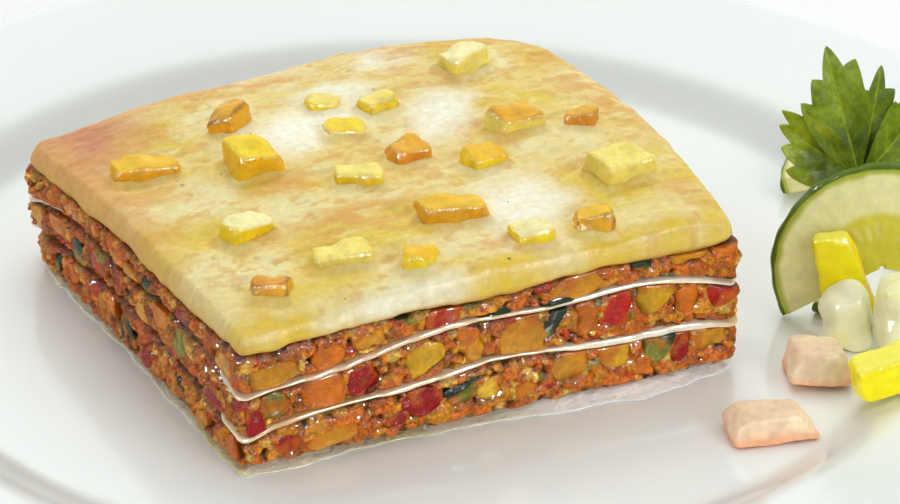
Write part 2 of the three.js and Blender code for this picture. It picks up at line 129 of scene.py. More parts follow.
class Outline:
    """The slice's outline at even steps, from the near left corner along the near side first."""

    def __init__(self, radii, spacing):
        t = np.linspace(0, 1, 500, endpoint=False)
        zero, one = np.zeros_like(t), np.ones_like(t)
        u = np.concatenate([t, one, 1 - t, zero])
        v = np.concatenate([zero, t, one, 1 - t])
        u, v = round_corners(u, v, radii)
        u, v = np.append(u, u[0]), np.append(v, v[0])
        steps = np.linalg.norm(np.diff(plan(u, v), axis=0), axis=1)
        along = np.concatenate([[0], np.cumsum(steps)])
        self.length = along[-1]
        self.count = round(self.length / spacing)
        self.s = np.arange(self.count) * self.length / self.count
        self.u, self.v = np.interp(self.s, along, u), np.interp(self.s, along, v)
        self.ribbon = np.stack([self.s, 0 * self.s, 0 * self.s], -1)
        self.point = plan(self.u, self.v)
        self.outward = outward_of(self.point)

    def at(self, s):
        """The nearest step's number."""
        return int(round(s / self.length * self.count)) % self.count


# ---- Noise, meshes and colours ------------------------------------------------------


def lattice(cell, seed):
    """A repeatable random number from -1 to 1 for each whole-numbered point."""
    h = cell[..., 0] * 73856093 ^ cell[..., 1] * 19349663 ^ cell[..., 2] * 83492791 ^ seed * 2654435
    h = (h ^ (h >> 13)) * 1274126177 & 0xFFFFFFFF
    h = (h ^ (h >> 15)) * 668265263 & 0xFFFFFFFF
    return ((h ^ (h >> 16)) & 0xFFFFFF) / 0x7FFFFF - 1


def noise(points, size, seed=0):
    """Smooth noise from -1 to 1 with lumps of that size."""
    p = np.asarray(points) / size + 100
    cell = np.floor(p).astype(np.int64)
    f = p - cell
    f = f * f * f * (f * (f * 6 - 15) + 10)
    total = 0
    for dx in (0, 1):
        for dy in (0, 1):
            for dz in (0, 1):
                weight = (f[..., 0] if dx else 1 - f[..., 0]) * (f[..., 1] if dy else 1 - f[..., 1])
                weight = weight * (f[..., 2] if dz else 1 - f[..., 2])
                total = total + weight * lattice(cell + [dx, dy, dz], seed)
    return total


def step(low, high, value):
    """0 below low, 1 above high, smooth between."""
    t = np.clip((value - low) / (high - low), 0, 1)
    return t * t * (3 - 2 * t)


def window(start, full, fading, end, value):
    """1 between full and fading, 0 before start and past end, smooth between."""
    return step(start, full, value) * step(end, fading, value)


def plain(colour, points):
    """One colour for each point."""
    return np.tile(colour, (len(points), 1))


def tint(tone, *layers):
    """Moves a tone towards each colour in turn, by a share for all or for each vertex."""
    for colour, share in layers:
        tone = tone + (np.array(colour) - tone) * np.clip(share, 0, 1)[..., None]
    return tone


def vectors(collection, key, width=3, kind=float):
    """One row for each member of a mesh's collection."""
    values = np.empty(len(collection) * width, kind)
    collection.foreach_get(key, values)
    return values.reshape(-1, width)


def add_object(name, data):
    thing = bpy.data.objects.new(name, data)
    bpy.context.scene.collection.objects.link(thing)
    return thing


def add_mesh(name, points, faces, tone, material):
    mesh = bpy.data.meshes.new(name)
    mesh.from_pydata((np.asarray(points) * MM).tolist(), [], faces.tolist())
    mesh.update()
    return finish_piece(name, mesh, tone, material)


def finish_piece(name, mesh, tone, material):
    """A smooth piece with its tone and material, riding with the dish."""
    mesh.polygons.foreach_set("use_smooth", [True] * len(mesh.polygons))
    colours = np.ones((len(mesh.vertices), 4))
    colours[:, :3] = np.clip(tone, 0, 1)
    layer = mesh.attributes.new("tone", "FLOAT_COLOR", "POINT")
    layer.data.foreach_set("color", colours.ravel())
    mesh.materials.clear()
    mesh.materials.append(material)
    piece = add_object(name, mesh)
    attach(piece, "root")
    return piece


def declare(piece, slot, *nodes):
    """Hides the CAD nodes that a piece replaces. piece and slot are not used."""
    if nodes:
        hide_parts(*nodes)


def band(low, high):
    """Quads between two closed rings of vertex numbers."""
    return np.stack([low, np.roll(low, -1), np.roll(high, -1), high], -1)


def ring_faces(rows, count):
    """Quads between rings of count vertices stacked in rows, facing out where rings climb."""
    rings = np.arange(rows * count).reshape(rows, count)
    return np.concatenate([band(low, high) for low, high in zip(rings, rings[1:])])


def grid_faces(n, m):
    """Quads of an n by m grid of vertices."""
    first = (np.arange(n - 1)[:, None] * m + np.arange(m - 1)).ravel()
    return np.stack([first, first + m, first + m + 1, first + 1], -1)


def rim_of(n, m):
    """The outer vertices of an n by m grid, in the turning sense of its faces."""
    grid = np.arange(n * m).reshape(n, m)
    return np.concatenate([grid[:-1, 0], grid[-1, :-1], grid[:0:-1, -1], grid[0, :0:-1]])


def slab(front, back, rows=3, bulge=0.0):
    """A closed shell from two grids of points of one shape, with rows of faces round its side."""
    n, m = front.shape[:2]
    count = n * m
    rim = rim_of(n, m)
    points = [front.reshape(-1, 3), back.reshape(-1, 3)]
    middle = points[0][rim].mean(0)
    rings = [rim + count]
    for row in range(1, rows):
        share = row / rows
        side = points[1][rim] * (1 - share) + points[0][rim] * share
        out = side - middle
        out /= np.linalg.norm(out, axis=1)[:, None]
        points.append(side + out * bulge * math.sin(math.pi * share))
        rings.append(2 * count + (row - 1) * len(rim) + np.arange(len(rim)))
    rings.append(rim)
    faces = [grid_faces(n, m), grid_faces(n, m)[:, ::-1] + count]
    faces += [band(low, high) for low, high in zip(rings, rings[1:])]
    return np.concatenate(points), np.concatenate(faces)


class Faces:
    """Quads with some triangles, for add_mesh."""

    def __init__(self, quads, *triangles):
        self.quads = quads
        self.triangles = triangles

    def tolist(self):
        return self.quads.tolist() + [t for group in self.triangles for t in group.tolist()]


def close_ends(points, rows, count, low_end, high_end):
    """Closes a stack of rings with a fan to a point below the first and above the last."""
    low, high = len(points), len(points) + 1
    points = np.concatenate([points, [low_end, high_end]])
    here = np.arange(count)
    after = (here + 1) % count
    last = (rows - 1) * count
    low_fan = np.stack([here, np.full(count, low), after], -1)
    high_fan = np.stack([last + here, last + after, np.full(count, high)], -1)
    return points, Faces(ring_faces(rows, count), low_fan, high_fan)


# ---- Materials ----------------------------------------------------------------------


class Nodes:
    """A material's node tree, with short calls for the nodes used here."""

    def __init__(self, name):
        self.material = bpy.data.materials.new(name)
        self.material.use_nodes = True
        self.tree = self.material.node_tree
        self.shader = self.tree.nodes["Principled BSDF"]
        self.place = self.add("ShaderNodeTexCoord").outputs["Object"]

    def add(self, kind, **settings):
        node = self.tree.nodes.new(kind)
        for key, value in settings.items():
            setattr(node, key, value)
        return node

    def link(self, source, target):
        self.tree.links.new(source, target)

    def noise(self, size, detail=2.0, stretch=None):
        """Noise with lumps of that size in millimetres, from 0 to 1."""
        texture = self.add("ShaderNodeTexNoise")
        texture.inputs["Scale"].default_value = 1 / (size * MM)
        texture.inputs["Detail"].default_value = detail
        place = self.place
        if stretch:
            mapping = self.add("ShaderNodeMapping")
            mapping.inputs["Scale"].default_value = stretch
            self.link(place, mapping.inputs["Vector"])
            place = mapping.outputs["Vector"]
        self.link(place, texture.inputs["Vector"])
        return texture.outputs["Fac"]

    def spread(self, value, low, high, to_low, to_high):
        """A value rescaled from one range to another, clamped."""
        node = self.add("ShaderNodeMapRange")
        settings = ("From Min", low), ("From Max", high), ("To Min", to_low), ("To Max", to_high)
        for key, number in settings:
            node.inputs[key].default_value = number
        self.link(value, node.inputs["Value"])
        return node.outputs["Result"]

    def mix(self, share, first, second, blend_type="MIX"):
        """Two colours mixed: each is a socket or a fixed colour, and share a socket or a number."""
        node = self.add("ShaderNodeMix", data_type="RGBA", blend_type=blend_type)
        sockets = node.inputs[0], node.inputs[6], node.inputs[7]
        for socket, value in zip(sockets, (share, first, second)):
            if isinstance(value, bpy.types.NodeSocket):
                self.link(value, socket)
            elif isinstance(value, (tuple, list)):
                socket.default_value = (*value, 1)
            else:
                socket.default_value = value
        return node.outputs[2]

    def tone(self):
        return self.add("ShaderNodeAttribute", attribute_name="tone").outputs["Color"]

    def colour(self, socket):
        self.link(socket, self.shader.inputs["Base Color"])

    def roughness(self, socket):
        self.link(socket, self.shader.inputs["Roughness"])

    def specks(self, spacing, radius, share):
        """1 inside scattered specks, 0 elsewhere. Share is how many cells hold one."""
        cells = self.add("ShaderNodeTexVoronoi")
        cells.inputs["Scale"].default_value = 1 / (spacing * MM)
        self.link(self.place, cells.inputs["Vector"])
        chosen = self.add("ShaderNodeMath", operation="LESS_THAN")
        split = self.add("ShaderNodeSeparateColor")
        self.link(cells.outputs["Color"], split.inputs["Color"])
        self.link(split.outputs[0], chosen.inputs[0])
        chosen.inputs[1].default_value = share
        edge = radius / spacing
        spot = self.spread(cells.outputs["Distance"], edge * 0.6, edge, 1, 0)
        both = self.add("ShaderNodeMath", operation="MULTIPLY")
        self.link(spot, both.inputs[0])
        self.link(chosen.outputs[0], both.inputs[1])
        return both.outputs[0]

    def bump(self, layers):
        """Relief from noise: pairs of lump size and height in millimetres."""
        normal = None
        for size, height in layers:
            node = self.add("ShaderNodeBump")
            node.inputs["Distance"].default_value = height * MM
            self.link(self.noise(size), node.inputs["Height"])
            if normal:
                self.link(normal, node.inputs["Normal"])
            normal = node.outputs["Normal"]
        self.link(normal, self.shader.inputs["Normal"])

    def set(self, **values):
        """Fixed values on the shader; an underscore stands for a space."""
        for key, value in values.items():
            self.shader.inputs[key.replace("_", " ")].default_value = value

    def scatter(self, weight, radius, scale):
        """Light that enters and leaves again, up to scale millimetres away."""
        self.set(Subsurface_Weight=weight, Subsurface_Radius=radius, Subsurface_Scale=scale * MM)


def food_material(name, rough, grain, mottle, bumps, scatter=None, coat=0.0, shine=0.4):
    """Tone with mottling of a grain in millimetres, roughness between two values, and relief."""
    nodes = Nodes(name)
    shade = nodes.spread(nodes.noise(grain, 3), 0.3, 0.7, 1 - mottle, 1 + mottle)
    nodes.colour(nodes.mix(1.0, nodes.tone(), shade, "MULTIPLY"))
    nodes.roughness(nodes.spread(nodes.noise(grain * 1.7), 0.35, 0.65, *rough))
    nodes.bump(bumps)
    if scatter:
        nodes.scatter(*scatter)
    nodes.set(Coat_Weight=coat, Coat_Roughness=0.06, Specular_IOR_Level=shine)
    return nodes


def glaze_material():
    nodes = Nodes("white glaze")
    colour = nodes.mix(nodes.noise(60, 2), (0.83, 0.865, 0.86), (0.85, 0.88, 0.87))
    nodes.colour(nodes.mix(1.0, colour, nodes.tone(), "MULTIPLY"))
    nodes.roughness(nodes.spread(nodes.noise(25), 0.3, 0.7, 0.1, 0.16))
    nodes.bump([(40, 0.12), (6, 0.006)])
    nodes.set(Coat_Weight=0.3, Coat_Roughness=0.05)
    return nodes.material


def sauce_material():
    nodes = food_material(
        "baked cream sauce", (0.42, 0.58), 1.6, 0.07, [(2.2, 0.22), (0.7, 0.08)],
        scatter=(0.3, (1.0, 0.72, 0.3), 1.4), shine=0.12,
    )
    colour = nodes.shader.inputs["Base Color"].links[0].from_socket
    streaks = nodes.spread(nodes.noise(1.3, 4, (0.45, 1.0, 1.0)), 0.52, 0.72, 0, 0.28)
    colour = nodes.mix(streaks, colour, (0.74, 0.50, 0.15))
    colour = nodes.mix(nodes.specks(4.5, 0.3, 0.15), colour, (0.32, 0.20, 0.07))
    nodes.colour(nodes.mix(nodes.specks(7.0, 0.45, 0.1), colour, (0.16, 0.20, 0.04)))
    return nodes.material


def filling_material():
    return food_material(
        "vegetable filling", (0.2, 0.4), 0.8, 0.5, [(1.3, 0.5), (0.45, 0.4)],
        scatter=(0.2, (1.0, 0.22, 0.02), 1.0), coat=0.18, shine=0.1,
    ).material


def vegetable_material(name, mottle, bumps, scatter):
    nodes = food_material(name, (0.18, 0.36), 1.2, mottle, bumps, scatter, coat=0.22, shine=0.1)
    return nodes.material


# ---- The plate ----------------------------------------------------------------------

# Radius, height and how far the corner's rounding reaches, from the underside's middle
# round the lip to the middle of the well.
PLATE_PROFILE = [
    (0, 2.4, 0), (80, 2.4, 1.2), (81.5, 0, 0.8), (86.5, 0, 0.8), (89, 2.8, 1.5),
    (108, 3.2, 8), (119, 8.0, 5), (153.5, 14.8, 1.6), (155, 16.9, 1.3), (154, 18.6, 0.9),
    (152, 19.0, 1.2), (118, 12.7, 5), (110.5, 8.6, 3.5), (105.5, 6.8, 4.5), (0, 6.8, 0),
]
PLATE_SEGMENTS = 240
UNDERSIDE, WELL = PLATE_PROFILE[0][1], PLATE_PROFILE[-1][1]
SHADED_ABOVE = 5.5  # keeps the well's painted shade off the underside
WELL_PAINTED_SHADE = (0.80, 0.80, 0.79)  # painted shade on the slope round the well


def rounded_profile(profile, longest):
    """The profile with its corners turned into curves, in stretches no longer than that."""
    corners = np.array([p[:2] for p in profile], float)
    path = [corners[0]]
    for k in range(1, len(corners) - 1):
        before, here, after = corners[k - 1], corners[k], corners[k + 1]
        reach = profile[k][2]
        start = here + (before - here) * min(0.5, reach / np.linalg.norm(before - here))
        end = here + (after - here) * min(0.5, reach / np.linalg.norm(after - here))
        for t in np.linspace(0, 1, 7):
            path.append((1 - t) ** 2 * start + 2 * t * (1 - t) * here + t * t * end)
    path.append(corners[-1])
    fine = [path[0]]
    for here in path[1:]:
        gap = np.linalg.norm(here - fine[-1])
        if gap < 1e-6:
            continue
        pieces = max(1, math.ceil(gap / longest))
        last = fine[-1]
        fine += [last + (here - last) * k / pieces for k in range(1, pieces + 1)]
    return np.array(fine)


def make_plate():
    profile = rounded_profile(PLATE_PROFILE, 7)[1:-1]
    turn = np.arange(PLATE_SEGMENTS) * 2 * np.pi / PLATE_SEGMENTS
    radius, height = profile[:, :1], profile[:, 1:]
    points = np.stack([radius * np.cos(turn), radius * np.sin(turn), height + 0 * turn], -1)
    points, faces = close_ends(
        points.reshape(-1, 3), len(profile), PLATE_SEGMENTS, [0, 0, UNDERSIDE], [0, 0, WELL]
    )
    reach = np.hypot(points[:, 0], points[:, 1])
    # painted shade: the slope round the well is greyer
    slope = window(104, 109, 116, 121, reach) * (points[:, 2] > SHADED_ABOVE)
    tone = tint(plain((1, 1, 1), points), (WELL_PAINTED_SHADE, slope))
    piece = add_mesh("glazed_plate", points, faces, tone, glaze_material())
    declare(piece, "plate", "dinner_plate")


# ---- Layers seen at the cut --------------------------------------------------------------

CAP_RINGS = (0.94, 0.8, 0.5)  # how far out the hidden rings of a layer's two faces lie


def cap_rings(surface, u, v):
    """Rings inside an outline on one of a layer's two faces, from the outermost in."""
    rings = []
    for share in CAP_RINGS:
        inner_u, inner_v = 0.5 + (u - 0.5) * share, 0.5 + (v - 0.5) * share
        height = surface(inner_u, inner_v)
        rings.append(np.concatenate([plan(inner_u, inner_v), height[:, None]], -1))
    return rings


def middle_of(surface):
    return [*plan(0.5, 0.5), float(surface(0.5, 0.5))]


def layer_piece(name, outline, under, over, out, lift, tone, material):
    """A closed layer. out and lift are arrays of rows by outline steps: how far each point
    of its side stands out, and its share of the height. tone has a colour for each."""
    rows, count = out.shape
    u, v = outline.u, outline.v
    low, high = under(u, v), over(u, v)
    height = low + (high - low) * lift
    side = outline.point[None] + outline.outward[None] * out[..., None]
    points = np.concatenate([side, height[..., None]], -1).reshape(-1, 3)
    stack = np.concatenate([*cap_rings(under, u, v)[::-1], points, *cap_rings(over, u, v)])
    hidden = len(CAP_RINGS)
    stack, faces = close_ends(stack, rows + 2 * hidden, count, middle_of(under), middle_of(over))
    below, above = np.tile(tone[0], (hidden, 1)), np.tile(tone[-1], (hidden, 1))
    shade = np.concatenate([below, tone.reshape(-1, 3), above, tone[0, :1], tone[-1, :1]])
    return add_mesh(name, stack, faces, shade, material)


def thin_edge(u, v):
    """How much thinner the sauce is along its left and near edges than further in."""
    left = 1.9 * np.exp(-((u / 0.05) ** 2)) * (0.5 + 0.5 * step(0.0, 0.6, v))
    near = 0.8 * np.exp(-((v / 0.05) ** 2)) * step(0.35, 0.0, u)
    return np.maximum(left, near)


def filled_top(u, v):
    """The upper filling's upper side, which rises behind the thin edge of the sauce."""
    return level("top", u, v) - JOINT + thin_edge(u, v)


def surface_of(name, rise=0.0):
    return lambda u, v: level(name, u, v) + rise


def flat(height):
    return lambda u, v: REST + height + 0 * u


# ---- Pasta sheets ----------------------------------------------------------------------

PASTA = (0.84, 0.70, 0.48)
PASTA_PINK = (0.78, 0.56, 0.38)
PASTA_STAIN = (0.60, 0.33, 0.07)
PASTA_WHITE = (0.88, 0.82, 0.66)
SHEET_ROWS = np.array([0, 0.12, 0.35, 0.65, 0.88, 1.0])
BARE_STRETCH = (66, 76, 104, 114)  # along the near face, where the sheets show whitest


def pasta_material():
    return food_material(
        "cooked pasta", (0.2, 0.42), 2.4, 0.08, [(3.0, 0.15), (0.8, 0.05)],
        scatter=(0.35, (1.0, 0.6, 0.35), 1.2), coat=0.2,
    ).material


def make_sheet(name, node, level_name, seed, stain, material):
    """One sheet between fillings. Its edge wanders, and filling hides it on the left face."""
    outline = Outline(SHEET_ROUND, 0.6)
    s, ribbon = outline.s, outline.ribbon
    to_end = outline.length - s
    left = step(112, 98, to_end) * step(7, 13, to_end)
    thick = 0.82 + 0.25 * noise(ribbon, 9, seed)
    if level_name == "lower sheet":
        thick = thick + 0.45 * window(*BARE_STRETCH, s)
    wander = 0.35 + 0.55 * noise(ribbon, 14, seed + 1) + 0.22 * noise(ribbon, 3.2, seed + 2)
    rows = SHEET_ROWS[:, None]
    lift = 0.5 + (rows - 0.5) * thick
    out = wander - 2.0 * left - 0.55 * (2 * np.abs(rows - 0.5)) ** 3
    grid = np.stack(np.broadcast_arrays(s[None], lift, 0.0), -1).reshape(-1, 3)
    tone = tint(
        plain(PASTA, grid),
        (PASTA_PINK, 0.7 * step(-0.2, 0.5, noise(grid, 8, seed + 3))),
        (PASTA_STAIN, stain * step(-0.35, 0.35, noise(grid, 11, seed + 4))),
        (PASTA_WHITE, 0.9 * window(*BARE_STRETCH, grid[:, 0])),
    ).reshape(*out.shape, 3)
    under, over = surface_of(level_name), surface_of(level_name, SHEET)
    piece = layer_piece(name, outline, under, over, out, lift, tone, material)
    declare(piece, "pasta", node)


BASE_WET = (0.84, 0.80, 0.62)
BASE_CLEAR = (0.96, 0.97, 0.96)
BASE_OLIVE = (0.70, 0.60, 0.22)
BASE_LIFT = [0, 0.05, 0.12, 0.22, 0.38, 0.65, 1.0]  # height shares of the soft edge's rows
BASE_INWARD = [0, 0.1, 0.4, 1.2, 2.2, 3.2, 4.4]  # and how far in they lie


def make_base_sheet():
    """The bottom sheet, soft with sauce, spread out from under the slice."""
    material = food_material(
        "wet bottom pasta", (0.1, 0.25), 2.0, 0.06, [(2.6, 0.6), (0.9, 0.3)],
        scatter=(0.15, (1.0, 0.9, 0.8), 1.5), coat=0.3,
    ).material
    outline = Outline(BASE_ROUND, 0.5)
    s, ribbon = outline.s, outline.ribbon
    spread = 0.4 * window(0, 12, 98, 112, s) + 3.0 * window(55, 80, 95, 111, s)
    wander = 0.1 + spread + 0.9 * noise(ribbon, 11, 60) + 0.5 * noise(ribbon, 3.5, 61)
    lift = np.array(BASE_LIFT)[:, None] + 0 * s
    out = np.maximum(wander, -0.8) - np.array(BASE_INWARD)[:, None]
    grid = np.stack(np.broadcast_arrays(s[None], lift * 4, 0.0), -1).reshape(-1, 3)
    stained = step(0.0, 0.5, noise(grid, 9, 62)) * (1 - window(70, 90, 112, 125, grid[:, 0]))
    tone = tint(
        plain(BASE_WET, grid),
        (BASE_CLEAR, window(45, 75, 112, 120, grid[:, 0])),
        (BASE_OLIVE, 0.6 * stained),
    ).reshape(*lift.shape, 3)
    piece = layer_piece("bottom_sheet", outline, flat(0), flat(BASE_SHEET), out, lift, tone, material)
    declare(piece, "pasta", "bottom_pasta_sheet")


# ---- Filling --------------------------------------------------------------------------

ORANGE = (0.50, 0.115, 0.003)
AMBER = (0.54, 0.205, 0.006)
BROWN = (0.34, 0.09, 0.004)
OLIVE = (0.25, 0.17, 0.012)
RED = (0.42, 0.035, 0.004)
PALE = (0.70, 0.40, 0.06)
GRAINS = [(ORANGE, 0.44), (AMBER, 0.30), (BROWN, 0.09), (OLIVE, 0.03), (RED, 0.05), (PALE, 0.09)]
LEFT_FACE_SHADE = [0.1, 0.2, 0.3]  # painted shade: how much red, green and blue the left face loses
COLUMN = 0.42  # spacing of the wall's vertices
WALL_ROWS = 28


class Lump:
    """A bit of chopped vegetable in the face of a layer: along and up the wall, in millimetres."""

    def __init__(self, random, s, w, radius):
        self.s, self.w, self.radius = s, w, radius
        self.stretch = random.uniform(0.75, 1.35)
        self.turn = random.uniform(0, math.pi)
        self.proud = random.uniform(-0.45, 0.6) + 0.1 * radius
        self.square = random.uniform(2.0, 3.4)
        self.flat = 2.0 if radius < 2 else random.uniform(2.5, 4.5)
        share = [g[1] for g in GRAINS]
        kind = random.choice(len(GRAINS), p=np.array(share) / sum(share))
        self.colour = np.array(GRAINS[kind][0]) * random.uniform(0.8, 1.25)


def chopped(random, length, height, spacing, radii):
    """Lumps at jittered places over a wall."""
    lumps = []
    for i in range(round(length / spacing)):
        for k in range(round(height / spacing) + 1):
            s = (i + random.uniform(-0.5, 0.5)) * spacing
            w = (k + random.uniform(-0.5, 0.5)) * spacing
            lumps.append(Lump(random, s, w, random.uniform(*radii)))
    return lumps


def heap(s, w, lumps, length):
    """How far the topmost lump stands out over each wall point, and that lump's colour."""
    out = np.full(s.shape, -1.4)
    # where no lump stands: the sunken core of brown sauce, darkened further as painted shade
    colour = np.tile(np.array(BROWN) * 0.6, (*s.shape, 1))
    for lump in lumps:
        ds = (s - lump.s + length / 2) % length - length / 2
        dw = w - lump.w
        near = (np.abs(ds) < lump.radius * 1.5) & (np.abs(dw) < lump.radius * 1.5)
        ds, dw = ds[near], dw[near]
        a = (ds * math.cos(lump.turn) + dw * math.sin(lump.turn)) / lump.stretch
        b = (dw * math.cos(lump.turn) - ds * math.sin(lump.turn)) * lump.stretch
        q = (np.abs(a) ** lump.square + np.abs(b) ** lump.square) ** (1 / lump.square) / lump.radius
        dome = np.sqrt(np.maximum(1 - np.minimum(q, 1) ** lump.flat, 0))
        rise = np.where(q < 1, lump.proud - min(lump.radius, 2.4) * (1 - dome), -9)
        here = rise > out[near]
        index = np.flatnonzero(near)[here]
        out.flat[index] = rise[here]
        colour.reshape(-1, 3)[index] = lump.colour
    return out, colour


def make_filling(name, node, radii, under, over, seed, chunks, material):
    """A layer of filling: lumps of many sizes over a sunken core, parted where a chunk sits."""
    outline = Outline(radii, COLUMN)
    random = np.random.default_rng(seed)
    s = np.tile(outline.s, (WALL_ROWS, 1))
    lift = np.linspace(0, 1, WALL_ROWS)[:, None] + 0 * s
    low, high = under(outline.u, outline.v), over(outline.u, outline.v)
    w = (high - low) * lift
    tall = float((high - low).max())
    lumps = chopped(random, outline.length, tall, 1.7, (0.7, 1.5))
    lumps += chopped(random, outline.length, tall, 6.0, (1.8, 3.4))
    random.shuffle(lumps)
    out, colour = heap(s, w, lumps, outline.length)
    place = np.stack([s, w, 0 * s + seed * 31], -1)
    out = out + 0.32 * noise(place, 2.1, seed) + 0.26 * noise(place, 1.0, seed + 1)
    out = out - 0.9 * np.exp(-((lift / 0.07) ** 2)) - 0.9 * np.exp(-(((1 - lift) / 0.07) ** 2))
    out = out + 0.35 * np.sin(np.pi * lift)
    for chunk in chunks:
        under_chunk = chunk.cover(s, low + w, outline.length) < 0.8
        out = np.where(under_chunk, np.minimum(out, -1.2), out)
    # painted shade: the wall darkens where it sinks back between lumps
    shade = 0.34 + 0.7 * step(-1.3, 0.3, out) + 0.18 * noise(place, 1.4, seed + 2)
    tone = colour * shade[..., None]
    # painted shade: the left face, turned away from the light, is darker
    left = step(outline.length - 110, outline.length - 96, s)
    tone = tone * (1 - left[..., None] * LEFT_FACE_SHADE)
    piece = layer_piece(name, outline, under, over, out, lift, tone, material)
    declare(piece, "filling", node)


# ---- Chunks in the cut face ---------------------------------------------------------

CHUNK_GRID = 9
CHUNK_COLOURS = {
    "red": [(0.30, 0.004, 0.004), (0.46, 0.012, 0.006), (0.24, 0.010, 0.005)],
    "carrot": [(0.62, 0.16, 0.006), (0.56, 0.14, 0.006), (0.54, 0.17, 0.008)],
    "squash": [(0.62, 0.34, 0.012), (0.56, 0.24, 0.008), (0.68, 0.42, 0.03)],
    "green": [(0.15, 0.14, 0.010), (0.22, 0.22, 0.03), (0.10, 0.10, 0.008)],
}
GREEN_SKIN = (0.012, 0.028, 0.008)


def cube_sphere(n):
    """A cube's surface grid of n cells a side, joined at its edges, and its quads."""
    lookup, points, faces = {}, [], []

    def vertex(p):
        key = tuple(p)
        if key not in lookup:
            lookup[key] = len(points)
            points.append(p)
        return lookup[key]

    for axis in range(3):
        for side in (0, n):
            for i in range(n):
                for k in range(n):
                    quad = []
                    for di, dk in ((0, 0), (1, 0), (1, 1), (0, 1)):
                        p = [0, 0, 0]
                        p[axis] = side
                        p[(axis + 1) % 3] = i + di
                        p[(axis + 2) % 3] = k + dk
                        quad.append(vertex(p))
                    faces.append(quad if side else quad[::-1])
    return np.array(points) * 2.0 / n - 1, np.array(faces)


CUBE_POINTS, CUBE_FACES = cube_sphere(CHUNK_GRID)


class Chunk:
    """A larger bit of vegetable: middle along and up the wall, size along, up and deep, turn
    in degrees, how proud it stands, which of its kind's colours it has, the share of it that
    is skin, and how square it is. A shade of None takes the kind's colours in turn."""

    def __init__(self, kind, s, z, size, turn, proud, shade, skin, square):
        self.kind, self.s, self.z, self.size = kind, s, z, size
        self.turn = math.radians(turn)
        self.proud, self.shade, self.skin, self.square = proud, shade, skin, square

    def cover(self, s, height, length):
        """Under 1 inside the chunk's outline on the wall."""
        ds = (s - self.s + length / 2) % length - length / 2
        dz = height - self.z - REST
        a = ds * math.cos(self.turn) + dz * math.sin(self.turn)
        b = dz * math.cos(self.turn) - ds * math.sin(self.turn)
        along, up, _ = self.size
        q = (2 * np.abs(a) / along) ** self.square + (2 * np.abs(b) / up) ** self.square
        return q ** (1 / self.square)

    def band(self, outline, k):
        """The heights the chunk's layer holds at some steps of the outline."""
        middle = outline.at(self.s)
        u, v = outline.u, outline.v
        for under, over in layer_bands():
            if over(u[middle], v[middle]) > self.z + REST:
                break
        return under(u[k], v[k]), over(u[k], v[k])

    def shape(self, outline, seed):
        """Points in place, and their tone."""
        size = np.array(self.size)
        p = self.square
        length = (np.abs(CUBE_POINTS) ** p).sum(1) ** (1 / p)
        local = CUBE_POINTS / length[:, None] * size / 2
        bumpy = 0.2 * size.min() * noise(local, size.min() * 0.55, seed)
        bumpy = bumpy + 0.3 * noise(local, 1.9, seed + 1) + 0.14 * noise(local, 0.9, seed + 2)
        local = local * (1 + (bumpy / np.linalg.norm(local, axis=1))[:, None])
        a = local[:, 0] * math.cos(self.turn) - local[:, 1] * math.sin(self.turn)
        b = local[:, 0] * math.sin(self.turn) + local[:, 1] * math.cos(self.turn)
        deep = local[:, 2]
        face = self.size[2] * 0.34
        deep = np.where(deep > face, face + (deep - face) * 0.35, deep)
        k = outline.at(self.s)
        run = np.array([-outline.outward[k][1], outline.outward[k][0]])
        out = deep - deep.max() + 0.55 * self.proud
        spot = outline.point[k] + run * a[:, None] + outline.outward[k] * out[:, None]
        steps = np.round((self.s + a) / outline.length * outline.count).astype(int)
        low, high = self.band(outline, steps % outline.count)
        height = np.clip(self.z + REST + b, low - 0.1, high + 0.1)
        points = np.concatenate([spot, height[:, None]], -1)
        shades = CHUNK_COLOURS[self.kind]
        colour = np.array(shades[self.shade if self.shade is not None else seed % len(shades)])
        mottle = 1 + 0.3 * noise(points, 2.6, seed + 3) + 0.15 * noise(points, 1.0, seed + 4)
        reach = np.hypot(2 * local[:, 0] / size[0], 2 * local[:, 1] / size[1])
        smeared = noise(points, 2.8, seed + 6) + 0.5 * noise(points, 1.1, seed + 7)
        smeared = smeared + 1.1 * step(0.65, 1.05, reach)
        tone = tint(plain(colour, points) * mottle[:, None], (ORANGE, 0.75 * step(0.1, 0.9, smeared)))
        # painted shade: the parts of a chunk sunk back into the wall are darker
        out_of_shade = step(-1.5, 0.3, out + 0.3 * noise(points, 1.6, seed + 8))
        tone = tone * (0.3 + 0.7 * out_of_shade)[:, None]
        if self.skin:
            rim = local[:, 1] / (size[1] / 2) + 0.12 * noise(points, 1.5, seed + 5)
            edge = 1 - 1.6 * self.skin
            tone = tint(tone, (GREEN_SKIN, step(edge, edge + 0.3, rim)))
        return points, tone


